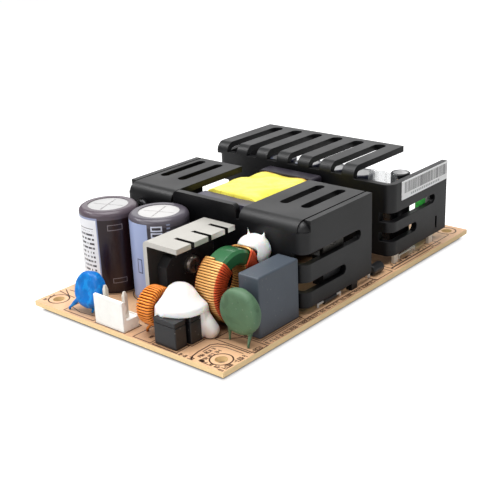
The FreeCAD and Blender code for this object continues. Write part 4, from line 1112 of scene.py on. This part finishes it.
bend_x, bend_z, ball_radius = -22.4, TOP + 24.8, 2.85
shape = bmesh.new()
for y, start in ((-32.5, 180), (33.0, 90)):
    domed_corner(shape, (bend_x, y, bend_z), start, ball_radius)
corners = as_piece("corner_domes", shape, black_sheet, smooth=False)
print("corner faces:", len(corners.data.polygons))

# %% [markdown]
# ## Printed marks on the board
# Brown outlines show where each part stands. They are thin ribbons of ink just above the board.
# Where the real board has wording, plain bars of uneven length keep the same grey value.


# %% Ink helpers
ink_level = (TOP + 0.012) * MM


def ribbon(shape, points, width, closed=False):
    """A flat line of ink through points in millimetres."""
    count = len(points)
    spans = count if closed else count - 1
    for i in range(spans):
        a = Vector((*points[i], 0)) * MM
        b = Vector((*points[(i + 1) % count], 0)) * MM
        along = (b - a).normalized() * width * MM / 2
        side = Vector((-along.y, along.x, 0))
        corners = [a - along + side, a - along - side, b + along - side, b + along + side]
        shape.faces.new([shape.verts.new((c.x, c.y, ink_level + i * 1e-9)) for c in corners])


def circle(x, y, radius, count=40):
    """Points on a circle."""
    turns = [math.radians(360.0 * i / count) for i in range(count)]
    return [(x + radius * math.cos(t), y + radius * math.sin(t)) for t in turns]


def wording(shape, x0, x1, y, height, seed, upright=False):
    """A row of short bars that stands for wording; an upright one has X and Y exchanged."""
    spin = random.Random(seed)

    def stroke(start, end):
        """One bar of the row."""
        ribbon(shape, [start[::-1], end[::-1]] if upright else [start, end], 0.27)

    at = x0
    while at < x1:
        length = spin.uniform(0.35, 0.8)
        for level in (0.0, 0.5, 1.0):
            if spin.random() < 0.62:
                stroke((at, y + height * level), (at + length, y + height * level))
        for edge in (at, at + length):
            if spin.random() < 0.6:
                stroke((edge, y), (edge, y + height))
        at += length + spin.choice((0.35, 0.35, 0.4, 0.95))


print("ink level (mm):", round(ink_level / MM, 3))

# %% [markdown]
# The marks themselves are tables of places: rings, rectangles as (x0, x1, y0, y1), free lines with
# their width, and rows of wording as (x0, x1, y, height, seed).

# %% Board print
LINE = 0.34
HOLE_X, HOLE_Y = 58.42, 33.02
choke_axis = (-38.7, -19.3)
rectangles = (
    (-62.9, -56.5, -1.0, 11.4),
    (-62.8, -50.4, -10.9, -4.2),
    (-62.9, -57.8, -20.9, -11.8),
    (-57.5, -52.6, -21.6, -12.7),
    (-44.3, -25.9, -34.6, -26.4),
    (-50.6, -45.2, -37.8, -23.6),
    (-55.0, -28.8, -8.0, -0.8),
    (-62.6, -56.4, 12.6, 25.6),
    (-26.4, 8.6, -36.1, 36.9),
    (18.9, 55.4, -35.6, 37.6),
    (8.2, 17.2, -37.2, -32.0),
    (18.9, 42.6, -37.1, -35.9),
    (43.6, 47.2, -37.1, -33.0),
)
free_lines = (
    (0.44, [
        (-63.15, -26.65), (-61.6, -25.6), (-59.0, -25.1), (-54.0, -25.0), (-52.4, -26.2),
        (-51.4, -29.0), (-51.4, -36.2),
    ]),
    (0.3, [(-58.0, -26.1), (-54.6, -26.0), (-53.4, -27.2), (-52.6, -29.6), (-52.6, -35.4)]),
    (0.3, [(-44.0, -35.4), (-27.0, -35.2)]),
    (0.45, [(-62.9, -12.0), (-62.9, -21.1)]),
    (LINE, [(-54.3, 37.6), (-54.8, 34.0), (-55.0, 30.0)]),
    (LINE, [(-52.0, 35.5), (-51.7, 31.2), (-52.6, 27.5)]),
    (LINE, [(-59.6, 25.9), (-60.9, 20.4), (-60.2, 14.9)]),
    (LINE, [(-55.8, 31.0), (-52.5, 36.8)]),
)
word_rows = (
    (-63.1, -53.4, -37.5, 1.4, 1),
    (-51.6, -21.0, -37.5, 1.3, 2),
    (-20.0, 9.0, -37.3, 1.2, 3),
    (-62.4, -55.4, -29.8, 1.0, 4),
    (-61.8, -54.6, -27.8, 1.0, 5),
    (-26.9, -22.2, -63.2, 1.0, 12, True),
    (21.0, 41.0, -35.0, 0.8, 6),
    (-60.5, -57.5, -9.0, 0.9, 8),
    (-61.5, -57.0, 35.9, 0.8, 9),
    (-35.5, -29.0, -62.6, 0.8, 10, True),
)
shape = bmesh.new()
for x in (-HOLE_X, HOLE_X):
    for y in (-HOLE_Y, HOLE_Y):
        ribbon(shape, circle(x, y, 3.15), 0.4, True)
for centre, radius in ((bulk_1, 9.5), (bulk_2, 9.5), (choke_axis, 11.9)):
    ribbon(shape, circle(*centre, radius, 60), LINE, True)
for x0, x1, y0, y1 in rectangles:
    ribbon(shape, [(x0, y0), (x1, y0), (x1, y1), (x0, y1)], LINE, True)
for width, points in free_lines:
    ribbon(shape, points, width)
for row in word_rows:
    wording(shape, *row)
ink = finish("board_ink", rgb(66, 38, 26), 0.5, (900.0, 0.25), (1500.0, 0.005, 0.4))[0]
board_print = as_piece("board_print", shape, ink, smooth=False)
print("ink faces:", len(board_print.data.polygons))

# %% [markdown]
# ## Floor, light and surround
# The picture is a plain studio one. The floor glows for the camera only, so it stays as pale as the
# surround and still takes a shadow; below the part it doesn't glow. The light is large and soft, from
# the upper left, so tops are bright and the long right-hand sides stay dark.


# %% Stage
def make_floor():
    """A pale plane that glows for the camera, but not below the part."""
    mesh = bpy.data.meshes.new("studio_floor")
    size = 3.0
    corners = [(-size, -size, 0), (size, -size, 0), (size, size, 0), (-size, size, 0)]
    mesh.from_pydata(corners, [], [(0, 1, 2, 3)])
    floor = new_object("studio_floor", mesh)
    material, shader = new_material("studio_floor", Roughness=0.9, Specular_IOR_Level=0.1)
    where = place(shader)
    shade = use(clouds, Place=where, Scale=3.0, Amount=0.005, Colour=rgb(196, 196, 196))["Colour"]
    drive(shader, "Base Color", shade)
    shader.inputs["Emission Color"].default_value = rgb(255, 255, 255)
    x, y, _ = split(where)
    beneath = patch(x, -0.0625, 0.0625, y, -0.0371, 0.0371, 0.001)
    open_floor = inverse(beneath)
    seen = add(shader, "LightPath").outputs["Is Camera Ray"]
    drive(shader, "Emission Strength", product(seen, 0.8, open_floor))
    mesh.materials.append(material)


def soft_light(name, place_mm, target_mm, width, height, power):
    """A rectangular area light that faces its target."""
    data = bpy.data.lights.new(name, "AREA")
    data.shape = "RECTANGLE"
    data.size = width * MM
    data.size_y = height * MM
    data.energy = power
    light = new_object(name, data)
    light.location = Vector(place_mm) * MM
    light.rotation_euler = (Vector(target_mm) - Vector(place_mm)).to_track_quat("-Z", "Y").to_euler()


make_floor()
soft_light("top_light", (-60, 20, 520), (0, 0, 0), 520, 420, 3.3)
soft_light("left_light", (-520, 60, 260), (0, 0, 15), 420, 300, 0.9)
soft_light("front_light", (-260, -420, 180), (0, 0, 15), 300, 200, 0.2)
soft_light("back_light", (440, 384, 240), (0, 0, 30), 560, 180, 0.45)
soft_light("bend_light", (-210, 370, 410), (0, 0, 25), 420, 110, 1.0)

world = bpy.data.worlds.new("pale_surround")
bpy.context.scene.world = world
world.use_nodes = True
sky = world.node_tree
background = next(node for node in sky.nodes if node.type == "BACKGROUND")
background.inputs["Color"].default_value = rgb(255, 255, 255)
seen = add(sky, "LightPath").outputs["Is Camera Ray"]
drive(background, "Strength", calc("MULTIPLY_ADD", seen, 0.76, 0.24))
print("lights:", len(bpy.data.lights))

# %% [markdown]
# ## Camera
# The camera stands where the photographer stood: low, close to the mains corner, so the board's
# near corner opens up and the far edge shrinks. Its turn comes from an azimuth, an elevation and
# a slight roll.

# %% Camera
azimuth, elevation, roll = (math.radians(v) for v in (-48.91, 21.32, -2.37))
back = Vector((
    math.sin(azimuth) * math.cos(elevation),
    -math.cos(azimuth) * math.cos(elevation),
    math.sin(elevation),
))
right = Vector((math.cos(azimuth), math.sin(azimuth), 0))
up = back.cross(right)
x_axis = right * math.cos(roll) + up * math.sin(roll)
y_axis = up * math.cos(roll) - right * math.sin(roll)
turn = Matrix((x_axis, y_axis, back)).transposed().to_4x4()
stand = Vector((-220.88, -186.11, 120.5)) * MM
camera_data = bpy.data.cameras.new("camera")
camera_data.lens = 69.2
camera_data.sensor_width = 36
camera_data.clip_start = 0.01
camera_data.clip_end = 10
camera = new_object("camera", camera_data)
camera.matrix_world = Matrix.Translation(stand) @ turn
bpy.context.scene.camera = camera
bpy.context.scene.view_settings.view_transform = "Standard"
print("camera to the part (mm):", round(stand.length / MM))
